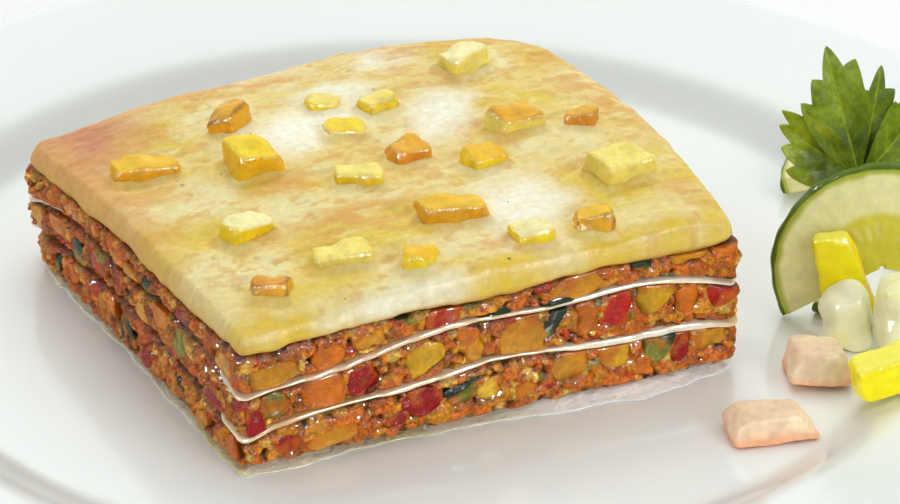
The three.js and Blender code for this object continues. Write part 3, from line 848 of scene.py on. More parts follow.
# The chunks that show best, on the near face and then on the left one, as Chunk's values.
# Both faces are measured along from the near left corner.
NEAR_CHUNKS = {
    "red": [
        (25.9, 16.4, (9, 8, 7), 28, 1, 0, 0, 2.4), (43.7, 26.6, (8, 6, 6), 35, 0.5, 1, 0, 3.2),
        (82.4, 20.4, (6.5, 9, 6), -20, 1, 1, 0, 2.5), (107, 19.3, (8.5, 8, 6), 20, 1.5, 1, 0, 2.5),
        (97.6, 8.6, (5, 10, 6), -12, 0.8, 0, 0, 2.6), (38.5, 8.3, (11, 7.5, 6), 12, 1, 0, 0, 2.5),
        (2.4, 11.5, (4.5, 9, 5), 10, 0.9, 0, 0, 2.6), (9.5, 5.3, (6, 5, 5), 0, 0.5, 0, 0, 3.2),
        (33, 5.6, (6, 3.6, 5), 10, 0.8, 2, 0, 3.2),
    ],
    "green": [
        (48.4, 8.6, (10, 5.5, 6), 24, 1.1, 0, 0.55, 3.2), (92.6, 10, (9, 8.5, 6), -50, 1.1, 1, 0.5, 2.6),
        (54.5, 24.6, (7.5, 4, 5), 12, 0.8, 2, 0.85, 3.2), (68, 20.6, (3.6, 9.5, 4), -28, 1.1, 2, 0.95, 3.2),
        (69.2, 24.2, (7.5, 3.4, 4), 4, 1, 2, 0.95, 3.2), (87.9, 29.8, (6, 3, 5), 4, 0.8, 2, 0.9, 3.2),
        (34.5, 29, (3, 2.4, 4), 0, 0.6, 2, 0.9, 3.2), (7, 14.8, (7, 7, 6), -20, 1, 0, 0, 2.5),
    ],
    "squash": [
        (61, 18.2, (12, 10.5, 7), 8, 0.9, 1, 0, 3.2), (73.5, 27.3, (14, 6, 7), 9, 0.8, 1, 0, 3.2),
        (91, 21.4, (9.5, 8.5, 7), 18, 1.2, 0, 0, 2.6), (6.8, 21.8, (13, 7, 7), 8, 0.8, 1, 0, 3.2),
        (39.5, 18.6, (11, 8, 6), 25, 1, 0, 0, 2.4), (50, 18.5, (6, 6, 5), 25, 0.8, 1, 0, 3.2),
        (72, 9.2, (10, 7.5, 6), 15, 0.9, 1, 0, 2.6), (19, 4.6, (14, 5, 6), 8, 0.8, 1, 0, 3.2),
        (82.5, 9.5, (8, 7, 6), -10, 0.8, 0, 0, 3.2), (104.5, 9.3, (9, 7, 6), 10, 1, 1, 0, 3.2),
        (99, 29.8, (9, 5, 6), 6, 0.8, 1, 0, 3.2), (27.5, 25.6, (8, 4.5, 6), 14, 0.8, 1, 0, 3.2),
        (53.5, 8, (6, 5, 5), 10, 1, 2, 0, 3.2),
    ],
    "carrot": [
        (17, 15.2, (9.5, 9, 7), 18, 1, 0, 0, 3.2), (18.5, 23.4, (8.5, 6, 6), 12, 1, 0, 0, 2.8),
        (48.5, 21, (5.5, 6, 5), 30, 0.9, 0, 0, 3.2), (98.5, 19.6, (7, 7, 6), 10, 1, 0, 0, 3.2),
        (107, 30, (7, 6.5, 6), 0, 1.4, 0, 0, 2.6), (76, 19.5, (6, 7, 5), -8, 0.8, 2, 0, 3.2),
        (89, 5.2, (5, 4.5, 5), 0, 0.8, 0, 0, 3.2), (62, 6, (5, 4.5, 5), 20, 1, 2, 0, 3.2),
    ],
}
LEFT_CHUNKS = {
    "red": [
        (12.6, 10.5, (9, 9, 6), 10, 1.2, 0, 0, 2.4), (24.2, 22.6, (11, 6, 6), -12, 0.9, 2, 0, 3.2),
        (69.5, 16, (6, 7, 5), 20, 1.3, 1, 0, 2.5), (58, 16.5, (5, 6, 5), 0, 0.9, 2, 0, 3.2),
        (31, 12, (5, 5, 5), 0, 1, 1, 0, 3.2),
    ],
    "green": [
        (78.8, 13.8, (7, 7.5, 5), 20, 1.2, 0, 0.6, 3.2), (53.5, 6, (7, 6.5, 5), 30, 1.2, 2, 0.9, 3.2),
        (27.1, 17, (7, 7, 5), -20, 1, 1, 0, 3.2), (42, 23.3, (6, 4, 5), 10, 0.9, 2, 0.9, 3.2),
    ],
    "carrot": [
        (36, 19, (7, 6, 6), 0, 1.3, 2, 0, 3.2), (89, 16.5, (9, 8, 6), 10, 1.5, 1, 0, 2.5),
        (62, 8.5, (6, 6, 5), 10, 1.4, 0, 0, 2.5), (84, 7, (8, 5, 5), -10, 1.4, 0, 0, 2.5),
        (6, 4.5, (8, 5, 5), 8, 0.9, 1, 0, 3.2),
    ],
    "squash": [
        (46, 14.5, (8, 7, 6), 14, 1.2, 1, 0, 2.6), (18.5, 4.6, (8, 4.5, 5), -6, 1.2, 1, 0, 3.2),
        (100, 13, (7, 7, 6), 0, 1.4, 1, 0, 2.5), (7, 22.6, (9, 6, 6), -8, 0.9, 1, 0, 3.2),
        (50.5, 21.5, (8, 5, 6), 0, 1.2, 1, 0, 3.2),
    ],
}


def layer_bands():
    """The underside and the upper side of each layer of filling, as functions of u and v."""
    return [
        (flat(BASE_SHEET + JOINT), surface_of("lower sheet", -JOINT)),
        (surface_of("lower sheet", SHEET + JOINT), surface_of("upper sheet", -JOINT)),
        (surface_of("upper sheet", SHEET + JOINT), filled_top),
    ]


ROUND_TRIP = 440  # about the outline's length
COMMON_KINDS = ["squash", "carrot", "squash", "red", "carrot", "squash", "carrot", "green"]


def scattered_chunks(random, start, end, count, taken):
    """More chunks between two places along the outline, clear of those already there."""
    outline = Outline(FILLING_ROUND, 2.0)
    bands = layer_bands()
    chunks = []
    for _ in range(count * 6):
        if len(chunks) == count:
            break
        s = random.uniform(start, end)
        k = outline.at(s)
        under, over = bands[random.integers(3)]
        low = float(under(outline.u[k], outline.v[k])) - REST
        high = float(over(outline.u[k], outline.v[k])) - REST
        up = min(high - low - 0.6, random.uniform(4.5, 8.5))
        if up < 2.5:
            continue
        along = random.uniform(4.5, 9.0)
        z = random.uniform(low + up / 2, max(high - up / 2, low + up / 2 + 0.01))
        clear = all(
            abs((s - c.s + ROUND_TRIP / 2) % ROUND_TRIP - ROUND_TRIP / 2) > 0.52 * (along + c.size[0])
            or abs(z - c.z) > 0.52 * (up + c.size[1])
            for c in taken + chunks
        )
        if not clear:
            continue
        kind = COMMON_KINDS[random.integers(len(COMMON_KINDS))]
        skin = random.choice([0, 0.5, 0.9]) if kind == "green" else 0
        turn, proud, square = (random.uniform(*ends) for ends in ((-25, 25), (0.6, 1.5), (2.3, 3.4)))
        chunks.append(Chunk(kind, s, z, (along, up, 5.5), turn, proud, None, skin, square))
    return chunks


def all_chunks():
    length = Outline(FILLING_ROUND, 1.0).length
    shown = [Chunk(kind, *facts) for kind, rows in NEAR_CHUNKS.items() for facts in rows]
    for kind, rows in LEFT_CHUNKS.items():
        shown += [Chunk(kind, length - along, *facts) for along, *facts in rows]
    random = np.random.default_rng(5)
    right_and_back = scattered_chunks(random, 112, length - 110, 56, shown)
    left = scattered_chunks(random, length - 110, length - 2, 8, shown + right_and_back)
    near = scattered_chunks(random, 2, 110, 5, shown)
    return shown + right_and_back + left + near


ROUGH_CUT, CLEAN_CUT = [(1.6, 0.4), (0.5, 0.3)], [(2.0, 0.3), (0.5, 0.2)]

# Each kind's vegetable, mottling, relief and scattered light.
CHUNK_LOOKS = {
    "red": ("red pepper", 0.2, ROUGH_CUT, (0.25, (1, 0.1, 0.05), 1.0)),
    "carrot": ("carrot", 0.12, CLEAN_CUT, (0.35, (1, 0.35, 0.06), 1.4)),
    "squash": ("squash", 0.12, CLEAN_CUT, (0.35, (1, 0.5, 0.08), 1.6)),
    "green": ("courgette", 0.3, ROUGH_CUT, (0.06, (0.6, 1, 0.2), 0.9)),
}


def make_chunks(chunks):
    """One joined piece for each kind."""
    outline = Outline(FILLING_ROUND, 0.25)
    for kind, (vegetable, *look) in CHUNK_LOOKS.items():
        material = vegetable_material(vegetable + " in sauce", *look)
        points, faces, tones = [], [], []
        for number, chunk in enumerate(c for c in chunks if c.kind == kind):
            shape, tone = chunk.shape(outline, 7 * number + len(kind))
            faces.append(CUBE_FACES + len(points) * len(CUBE_POINTS))
            points.append(shape)
            tones.append(tone)
        name = vegetable.replace(" ", "_") + "_bits"
        joined = (np.concatenate(part) for part in (points, faces, tones))
        declare(add_mesh(name, *joined, material), "filling")


def make_fillings():
    material = filling_material()
    chunks = all_chunks()
    layers = [("lower", LOWER_ROUND, 11), ("middle", FILLING_ROUND, 23), ("upper", FILLING_ROUND, 37)]
    for (name, radii, seed), (under, over) in zip(layers, layer_bands()):
        node = name + "_filling"
        make_filling(name + "_vegetables", node, radii, under, over, seed, chunks, material)
    make_chunks(chunks)


# ---- The baked sauce top ----------------------------------------------------------------

TOP_CELLS = (284, 262)
TOP_CROWDING = 0.35  # 0 spaces the cells evenly, 1 crowds them to the edges
TOP_INSET = 1.8  # from the outline to where the top turns into the side
SIDE_SHARES = [0.9, 0.8, 0.68, 0.55, 0.42, 0.3, 0.18, 0.08, 0.0]

CREAM = (0.76, 0.59, 0.20)
CREAM_YELLOW = (0.73, 0.55, 0.085)
CREAM_PALE = (0.80, 0.70, 0.36)
MILK = (0.90, 0.88, 0.72)
TAN = (0.68, 0.36, 0.09)
GOLD = (0.76, 0.52, 0.025)
PEACH = (0.70, 0.36, 0.12)
PINK_BROWN = (0.58, 0.23, 0.13)
TOASTED = (0.68, 0.40, 0.07)
# painted shadow in the sauce round the foot of each die
SHADE_ROUND_A_DIE = (0.72, 0.48, 0.10)
BAKED_BACK = (0.66, 0.36, 0.10)
SIDE_CREAM = (0.72, 0.52, 0.12)
# the darker brown the sauce's left side turns, more towards the bottom
LEFT_SIDE_BROWN = (0.56, 0.29, 0.06)
OILY_RIM = (0.52, 0.26, 0.04)  # where the sauce meets the filling

# Patches on the top: middle in the dish's frame, half length, half width, turn in degrees,
# colour, strength, and how broken up it is from 0 to 1.
PATCHES = [
    (-17, 20, 17, 10, 20, MILK, 1.0, 0.05), (-4, 33, 10, 7, 0, MILK, 0.85, 0.1),
    (13, 12, 13, 8, 60, MILK, 1.0, 0.1), (12, -38, 9, 17, -10, MILK, 1.0, 0.1),
    (12, 45, 6, 6, 0, MILK, 1.0, 0.1), (-25, -57, 14, 3.5, 4, MILK, 0.7, 0.2),
    (32, -50, 12, 5, 10, CREAM_PALE, 0.8, 0.2), (-59, -42, 6, 12, 5, CREAM_PALE, 0.7, 0.2),
    (-64, 40, 17, 21, -20, PINK_BROWN, 1.0, 0.1), (-70, 28, 8, 24, 4, PEACH, 1.0, 0.15),
    (-66, 6, 7, 20, 4, PEACH, 0.75, 0.3), (-62, -12, 5, 12, 4, TAN, 0.5, 0.5),
    (-53, 30, 12, 5, 35, TAN, 0.65, 0.6), (-63, -33, 3, 9, 3, TAN, 0.7, 0.4),
    (-31, -3, 9, 5, -10, TAN, 0.95, 0.75), (-24, -25, 16, 6, 10, TAN, 0.9, 0.8),
    (-56, 6, 8, 5, 0, TAN, 0.7, 0.7), (-17, -29, 9, 4, 0, TAN, 0.7, 0.8),
    (15, 40, 5, 6, 0, TAN, 0.8, 0.7), (19, 27, 7, 4, 0, TAN, 0.6, 0.7),
    (15, 4, 6, 4, 0, TAN, 0.7, 0.7), (1, -50, 9, 4, 0, TAN, 0.8, 0.7),
    (-18, 47, 18, 4, 3, TAN, 0.8, 0.6), (-40, 49, 20, 3, 2, PEACH, 0.7, 0.4),
    (30, 48, 22, 5, -6, TAN, 0.85, 0.6), (47, 30, 6, 20, 4, TAN, 0.6, 0.8),
    (50, 4, 6, 22, 0, TAN, 0.7, 0.8), (46, -44, 5, 9, 0, TAN, 0.7, 0.7),
    (-40, -47, 12, 4, 6, CREAM_YELLOW, 0.9, 0.3), (18, -48, 7, 4, 0, CREAM_YELLOW, 0.9, 0.3),
    (-59, -53, 4, 3, 0, GOLD, 0.5, 0.4), (-49, -55.5, 7, 2.8, 8, GOLD, 0.95, 0.2),
    (-1, -55.6, 9.5, 3.0, 5, GOLD, 1.0, 0.15), (23, -56.2, 6.5, 2.8, 4, GOLD, 1.0, 0.15),
    (37, -56.4, 4, 2.0, 0, GOLD, 0.9, 0.3), (46, -56.2, 3, 1.9, 0, GOLD, 0.8, 0.3),
    (-10, -51, 7, 2.6, 5, GOLD, 0.7, 0.4),
]


def patch_share(points, patch):
    """How strongly a patch shows at each point."""
    x, y, half_length, half_width, turn, _, strength, broken = patch
    angle = math.radians(turn)
    dx, dy = points[:, 0] - x, points[:, 1] - y
    dx = dx + 1.8 * noise(points, 6, 71)
    dy = dy + 1.8 * noise(points, 6, 72)
    a = (dx * math.cos(angle) + dy * math.sin(angle)) / half_length
    b = (dy * math.cos(angle) - dx * math.sin(angle)) / half_width
    share = strength * step(1.5, 0.35, np.hypot(a, b))
    streaky = noise(points * [0.45, 1, 1], 2.6, 73) + 0.5 * noise(points * [0.6, 1, 1], 1.1, 74)
    return share * (1 - broken * step(0.25, -0.35, streaky))


def die_trees():
    """A search tree for each die, in millimetres, with its box."""
    trees = []
    for name in sorted(n for n in NODES if n.startswith("squash_dice")):
        mesh = NODES[name].data
        points = vectors(mesh.vertices, "co") / MM
        tree = BVHTree.FromPolygons(points.tolist(), [list(p.vertices) for p in mesh.polygons])
        trees.append((tree, points.min(0), points.max(0)))
    return trees


def distance_to_dice(points):
    """How far each point is outside the nearest die; negative inside one."""
    distance = np.full(len(points), 99.0)
    reach = 5
    for tree, low, high in die_trees():
        near = ((points[:, :2] > low[:2] - reach) & (points[:, :2] < high[:2] + reach)).all(1)
        for k in np.flatnonzero(near):
            spot, normal, _, gap = tree.find_nearest(Vector(points[k]))
            inside = (Vector(points[k]) - spot).dot(normal) < 0
            distance[k] = min(distance[k], -gap if inside else gap)
    return distance


def sauce_tone(points, distance, from_edge):
    slow = noise(points, 16, 75) + 0.5 * noise(points, 6, 76)
    streaky = noise(points * [0.5, 1, 1], 3.4, 77) + 0.6 * noise(points * [0.6, 1, 1], 1.3, 78)
    fine = noise(points * [0.5, 1, 1], 1.9, 79) + 0.5 * noise(points, 0.9, 80)
    # painted shadow: the sauce darkens close round each die
    die_shade = np.exp(-((np.maximum(distance, 0) / 1.5) ** 2))
    back = step(40, 55, points[:, 1]) * step(5, 1.5, from_edge)
    return tint(
        plain(CREAM, points),
        (CREAM_PALE, step(0.0, 0.8, slow)),
        (CREAM_YELLOW, step(-0.05, -0.7, slow)),
        (TAN, 0.5 * step(0.45, 0.95, streaky)),
        (TOASTED, 0.6 * step(0.4, 0.85, fine)),
        (CREAM_PALE, 0.5 * step(-0.4, -0.9, fine)),
        *[(patch[5], patch_share(points, patch)) for patch in PATCHES],
        (SHADE_ROUND_A_DIE, 0.35 * die_shade),
        (BAKED_BACK, 0.6 * back),
    )


def crust_height(u, v, place, from_edge):
    """The CAD's level, rounded at the rim, with a wrinkled skin that is smoother where milky."""
    drop = 1.5 - 0.8 * step(0.1, 0.02, u)
    height = level("crust", u, v) - drop * np.exp(-((from_edge / 3) ** 2))
    skin = 0.32 * noise(place, 8, 81) + 0.26 * noise(place * [0.6, 1, 1], 3.2, 82)
    skin = skin + 0.13 * noise(place * [0.55, 1, 1], 1.5, 83)
    milky = np.max([patch_share(place, patch) for patch in PATCHES if patch[5] is MILK], 0)
    return height + skin * (1 - 0.55 * milky)


def top_lines(count, nominal):
    """Where the lines of the top's grid lie, from 0 to 1 across the slice."""
    t = np.linspace(0, 1, count)
    t = t - TOP_CROWDING * np.sin(2 * np.pi * t) / (2 * np.pi)
    return 0.5 + (t - 0.5) * (1 - 2 * TOP_INSET / nominal)


def sauce_side(edge, tone, u, v):
    """Rings of points down the sauce's side, and their tones."""
    outward = outward_of(edge[:, :2])
    ribbon = across_plane(edge[:, :2])
    hang = TOP_INSET - 0.15 + 0.5 * noise(ribbon, 13, 84) + 0.25 * noise(ribbon, 4, 85)
    drip = 0.5 * noise(ribbon, 10, 86) + 0.35 * noise(ribbon, 3.5, 87)
    foot = level("top", u, v) + thin_edge(u, v) + drip
    rings, tones = [], []
    for share in SIDE_SHARES:
        out = hang * (1 - share**2.2) - 0.5 * step(0.15, 0.0, share)
        height = foot + (edge[:, 2] - foot) * share
        ring = np.concatenate([edge[:, :2] + outward * out[:, None], height[:, None]], -1)
        ring[:, :2] += outward * (0.22 * noise(ring, 3.0, 88) * (1 - share))[:, None]
        rings.append(ring)
        tones.append(tint(
            tone,
            (SIDE_CREAM, 0.3 * (1 - share)),
            # darker brown down the sauce's left side, more towards the bottom
            (LEFT_SIDE_BROWN, 0.7 * step(0.06, 0.01, u) * (1 - share)),
            (OILY_RIM, 0.85 * step(0.34, 0.0, share)),
        ))
    return rings, tones


def make_sauce():
    n, m = TOP_CELLS[0] + 1, TOP_CELLS[1] + 1
    u, v = np.meshgrid(top_lines(n, WIDTH), top_lines(m, DEPTH), indexing="ij")
    u, v = round_corners(u.ravel(), v.ravel(), TOP_ROUND)
    place = across_plane(plan(u, v))
    from_edge = np.minimum(np.minimum(u, 1 - u) * WIDTH, np.minimum(v, 1 - v) * DEPTH)
    points = place.copy()
    points[:, 2] = crust_height(u, v, place, from_edge)
    distance = distance_to_dice(points)
    points[:, 2] += 0.75 * np.exp(-((np.maximum(distance, 0) / 1.1) ** 2))  # a lip at each die
    points[:, 2] -= 0.3 * np.exp(-(((distance - 2.4) / 1.2) ** 2))  # and a dip round the lip
    points[:, 2] -= (DIE_SUNK + 0.8) * step(-0.25, -1.1, distance)
    tone = sauce_tone(place, distance, from_edge)

    rim = rim_of(n, m)
    rings, tones = sauce_side(points[rim], tone[rim], u[rim], v[rim])
    rings += cap_rings(surface_of("top"), u[rim], v[rim])
    tones += [tones[-1]] * len(CAP_RINGS)
    below = len(points) + np.arange(len(rings) * len(rim)).reshape(len(rings), len(rim))
    stack = [rim, *below]
    quads = [grid_faces(n, m)] + [band(low, high) for high, low in zip(stack, stack[1:])]
    points = np.concatenate([points, *rings, [middle_of(surface_of("top"))]])
    last = stack[-1]
    fan = np.stack([last, np.full(len(rim), len(points) - 1), np.roll(last, -1)], -1)
    tone = np.concatenate([tone, *tones, [CREAM]])
    piece = add_mesh("sauce_top", points, Faces(np.concatenate(quads), fan), tone, sauce_material())
    declare(piece, "sauce", "baked_sauce_top")


# ---- Pieces that keep their CAD solid's form --------------------------------------------


def move(mesh, points):
    mesh.vertices.foreach_set("co", (points * MM).ravel())
    mesh.update()


def softened(node, voxel, rounds, relief, swell):
    """The node's form as a fine even mesh, with softer edges and a bumpy surface.
    relief has pairs of lump size and height in millimetres, and swell makes up for what
    the softening takes off."""
    source = add_object("source", NODES[node].data.copy())
    remesh = source.modifiers.new("remesh", "REMESH")
    remesh.mode = "VOXEL"
    remesh.voxel_size = voxel * MM
    graph = bpy.context.evaluated_depsgraph_get()
    mesh = bpy.data.meshes.new_from_object(source.evaluated_get(graph))
    bpy.data.objects.remove(source)
    sharp = points = vectors(mesh.vertices, "co") / MM
    edges = vectors(mesh.edges, "vertices", 2, int)
    degree = np.bincount(edges.ravel(), minlength=len(points))[:, None]
    for _ in range(rounds):
        total = np.zeros_like(points)
        np.add.at(total, edges[:, 0], points[edges[:, 1]])
        np.add.at(total, edges[:, 1], points[edges[:, 0]])
        points = points * 0.5 + total / degree * 0.5
    move(mesh, points)
    normals = vectors(mesh.vertices, "normal")
    crest = ((sharp - points) * normals).sum(1)  # above 0 along edges and at corners
    points = points + normals * swell
    for seed, (size, height) in enumerate(relief):
        points = points + normals * (height * noise(points, size, 90 + seed))[:, None]
    move(mesh, points)
    return mesh, points, normals, crest


# Each die: colour of its sides, colour of its top, and how charred its edges are.
YELLOW, DEEP_YELLOW, DIE_ORANGE = (0.90, 0.66, 0.012), (0.86, 0.52, 0.008), (0.76, 0.30, 0.010)
DIE_AMBER, DIE_PALE, DIE_WHITE = (0.80, 0.41, 0.012), (0.88, 0.73, 0.17), (0.90, 0.82, 0.40)
DICE_LOOKS = [
    (DIE_AMBER, DEEP_YELLOW, 0.2), (DIE_AMBER, DIE_AMBER, 0.7), (DEEP_YELLOW, YELLOW, 0.1),
    (YELLOW, DIE_PALE, 0.1), (YELLOW, DIE_PALE, 0.4), (DIE_WHITE, YELLOW, 0.0),
    (YELLOW, DIE_PALE, 0.1), (DIE_ORANGE, DIE_AMBER, 0.2), (DIE_PALE, DIE_WHITE, 0.0),
    (DIE_PALE, DIE_AMBER, 0.25), (DIE_ORANGE, DIE_AMBER, 0.2), (YELLOW, DEEP_YELLOW, 0.15),
    (DIE_PALE, DIE_PALE, 0.05), (DIE_AMBER, DEEP_YELLOW, 0.25), (DIE_AMBER, DEEP_YELLOW, 0.9),
    (YELLOW, DIE_WHITE, 0.0), (DIE_PALE, DIE_PALE, 0.05), (YELLOW, DEEP_YELLOW, 0.15),
    (YELLOW, DIE_WHITE, 0.0), (DIE_AMBER, DIE_ORANGE, 0.9),
]
CHAR = (0.16, 0.07, 0.02)
DIE_FOOT = (0.64, 0.30, 0.02)


def make_dice():
    material = food_material(
        "roasted squash", (0.3, 0.48), 1.2, 0.07, [(1.3, 0.25), (0.5, 0.12)],
        scatter=(0.3, (1.0, 0.6, 0.1), 1.5), coat=0.1, shine=0.2,
    ).material
    for number, (side, top, char) in enumerate(DICE_LOOKS, 1):
        node = f"squash_dice_{number:02d}"
        mesh, points, normals, crest = softened(node, 0.42, 3, [(4.6, 0.8), (1.5, 0.2)], 0.15)
        up = normals[:, 2]
        patchy = noise(points, 4.0, number)
        tone = tint(plain(side, points), (top, step(0.35, 0.8, up + 0.35 * patchy)))
        height = points[:, 2] - points[:, 2].min()
        flecks = noise(points * [1, 1, 0.5], 2.0, number + 60)
        tone = tint(
            tone * (1 + 0.12 * noise(points, 2.8, number + 40))[:, None],
            (CHAR, char * step(0.0, 0.12, crest + 0.05 * patchy) * step(-0.3, 0.3, up)),
            (DIE_FOOT, 0.35 * step(4.4, 2.4, height + 0.8 * patchy)),
            (DEEP_YELLOW, 0.2 * step(0.2, 0.7, flecks)),
        )
        declare(finish_piece(f"squash_die_{number:02d}", mesh, tone, material), "squash", node)


# ---- Garnish ---------------------------------------------------------------------------

SKIN, UNDER_SKIN = (0.10, 0.16, 0.012), (0.44, 0.50, 0.05)
FLESH, SEED_BED, SEED = (0.84, 0.80, 0.42), (0.70, 0.64, 0.07), (0.86, 0.80, 0.40)

RING_MARK, SEED_MARK, SKIN_STREAK = (0.74, 0.72, 0.34), (0.56, 0.52, 0.08), (0.10, 0.20, 0.02)

# Radius, thickness, where the cut starts and how far it sweeps, heading, lean, and whether it stands.
CUCUMBERS = {
    "cucumber_slice_standing": (23.6, 3.4, 209, 220, -114, 5, True),
    "cucumber_half_slice": (19, 4.4, 160, 180, -3, 16, False),
    "cucumber_wedge": (15, 2.8, 30, 60, -113, 0, False),
}


def centred_on(node, points):
    """The points moved so that the middle of their box is the middle of the node's."""
    low, high = (np.array(corner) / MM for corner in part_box(node))
    return points + (low + high) / 2 - (points.min(0) + points.max(0)) / 2


def cucumber_tone(share, angle, points):
    """Skin, flesh and seeds. share is how far out each point is, and angle its direction."""
    wobble = 0.02 * noise(points, 3, 95)
    streaks = noise(np.stack([angle * 12, 0 * angle, 0 * angle], -1), 1.0, 96)
    tone = tint(
        plain(FLESH, points),
        (RING_MARK, 0.5 * step(-0.2, 0.6, streaks) * step(0.5, 0.8, share)),
        (SEED_BED, step(0.60, 0.50, share + wobble)),
        (UNDER_SKIN, step(0.90, 0.965, share + wobble)),
        (SKIN, step(0.972, 0.985, share + 0.4 * wobble)),
    )
    for lobe in range(3):
        for side in range(-3, 4):
            middle = math.radians(120 * lobe + 14 * side + 20)
            across = np.angle(np.exp(1j * (angle - middle))) / 0.085
            q = np.hypot((share - 0.36 - 0.03 * (side % 2)) / 0.11, across)
            outline = step(0.35, 0.0, np.abs(q - 1.0))
            tone = tint(tone, (SEED, 0.3 * step(1.0, 0.7, q)), (SEED_MARK, 0.2 * outline))
    return tone


def make_cucumber(material, node, radius, thickness, start, sweep, heading, lean, stands):
    rings, steps = 34, round(sweep / 1.6)
    share = np.concatenate([np.linspace(0.02, 0.9, rings - 8), np.linspace(0.915, 1.0, 8)])
    angle = np.radians(start - sweep * np.linspace(0, 1, steps))
    share, angle = np.meshgrid(share, angle, indexing="ij")
    place = np.stack([share * np.cos(angle), share * np.sin(angle), 0 * share], -1) * radius
    ripple = 1 + 0.006 * np.sin(angle * 9) + 0.004 * np.sin(angle * 23)
    round_off = 0.45 * step(0.93, 1.0, share)
    seeds = 0.22 * noise(place, 2.0, 97) * step(0.62, 0.4, share) - 0.25 * step(0.55, 0.4, share)
    seeds = seeds + 0.06 * noise(place, 1.0, 98)
    sides = []
    for facing in (1, -1):
        z = facing * (thickness / 2 - round_off + seeds)
        sides.append(np.stack([place[..., 0] * ripple, place[..., 1] * ripple, z], -1))
    points, faces = slab(sides[1], sides[0], rows=6, bulge=0.35)
    reach = np.hypot(points[:, 0], points[:, 1]) / radius
    tone = cucumber_tone(reach, np.arctan2(points[:, 1], points[:, 0]), points)
    streaks = step(0.0, 0.7, noise(points * [1, 1, 0.3], 1.6, 99))
    tone = tint(tone, (SKIN_STREAK, 0.5 * step(0.985, 0.995, reach) * streaks))
    if stands:
        turn = Euler((math.radians(90 - lean), 0, math.radians(heading + 90)))
    else:
        turn = Euler((0, math.radians(-lean), math.radians(heading)))
    points = points @ np.array(turn.to_matrix()).T
    declare(add_mesh(node + "_cut", centred_on(node, points), faces, tone, material), "cucumber", node)


TOMATO, TOMATO_PALE, TOMATO_RED = (0.83, 0.62, 0.42), (0.85, 0.70, 0.46), (0.74, 0.24, 0.09)
TOMATO_EDGE = (0.76, 0.34, 0.18)
PEPPER, PEPPER_DEEP, PEPPER_TOP_HIGHLIGHT = (0.95, 0.82, 0.006), (0.92, 0.62, 0.01), (0.95, 0.90, 0.16)
PEELED, PEELED_GREEN, PEELED_SKIN = (0.96, 0.95, 0.66), (0.86, 0.84, 0.28), (0.10, 0.18, 0.02)
PEPPER_LEAN = np.array([-0.2576, 0.10976, 0])  # per millimetre of height, on the first piece


def make_tomato():
    material = food_material(
        "tomato", (0.4, 0.55), 2.0, 0.1, [(2.2, 0.12), (0.8, 0.05)],
        scatter=(0.5, (1.0, 0.5, 0.35), 2.5), shine=0.12,
    ).material
    for number, node in enumerate(("tomato_piece_1", "tomato_piece_2")):
        mesh, points, _, crest = softened(node, 0.5, 4, [(5, 0.5), (2, 0.15)], 0.1)
        low = points[:, 2].min()
        tone = tint(
            plain(TOMATO, points),
            (TOMATO_PALE, step(-0.1, 0.6, noise(points, 5, 101 + number))),
            (TOMATO_RED, 0.65 * step(low + 3.8, low + 0.8, points[:, 2])),
            (TOMATO_EDGE, 0.35 * step(0.1, 0.45, crest)),
        )
        declare(finish_piece(node + "_soft", mesh, tone, material), "tomato", node)


def make_pepper():
    material = food_material(
        "yellow pepper", (0.2, 0.34), 2.4, 0.05, [(3, 0.12), (0.9, 0.03)],
        scatter=(0.35, (1.0, 0.8, 0.1), 2.0), coat=0.06, shine=0.2,
    ).material
    for number, node in enumerate(("yellow_pepper_piece_1", "yellow_pepper_piece_2")):
        mesh, points, normals, _ = softened(node, 0.5, 6, [(6, 0.5), (2.4, 0.12)], 0.2)
        turned = normals[:, 0] + 0.4 * noise(points, 5, 103)
        tone = tint(
            plain(PEPPER, points),
            (PEPPER_DEEP, 0.7 * step(0.1, 0.7, turned)),
            # painted highlight: faces that look up are paler
            (PEPPER_TOP_HIGHLIGHT, 0.6 * step(0.5, 0.9, normals[:, 2])),
        )
        if number == 0:
            move(mesh, points + (points[:, 2:] - points[:, 2].min()) * PEPPER_LEAN)
        declare(finish_piece(node + "_soft", mesh, tone, material), "yellow_pepper", node)


def make_peeled_cucumber():
    material = food_material(
        "peeled cucumber", (0.3, 0.45), 2.4, 0.04, [(3, 0.2), (1.0, 0.06)],
        scatter=(0.5, (0.9, 1.0, 0.6), 2.4), shine=0.15,
    ).material
    for number, node in enumerate(("cucumber_chunk_1", "cucumber_chunk_2")):
        mesh, points, _, crest = softened(node, 0.5, 14, [(5, 1.3), (2.6, 0.3)], 1.1)
        high = points[:, 2].max()
        skin = step(0.35, 0.6, crest) * step(high - 1.8, high - 0.8, points[:, 2])
        tone = tint(
            plain(PEELED, points),
            (PEELED_GREEN, 0.45 * step(0.1, 0.7, noise(points, 5, 105 + number))),
            (PEELED_SKIN, 0.9 * skin * (number == 0)),
        )
        declare(finish_piece(node + "_soft", mesh, tone, material), "cucumber", node)


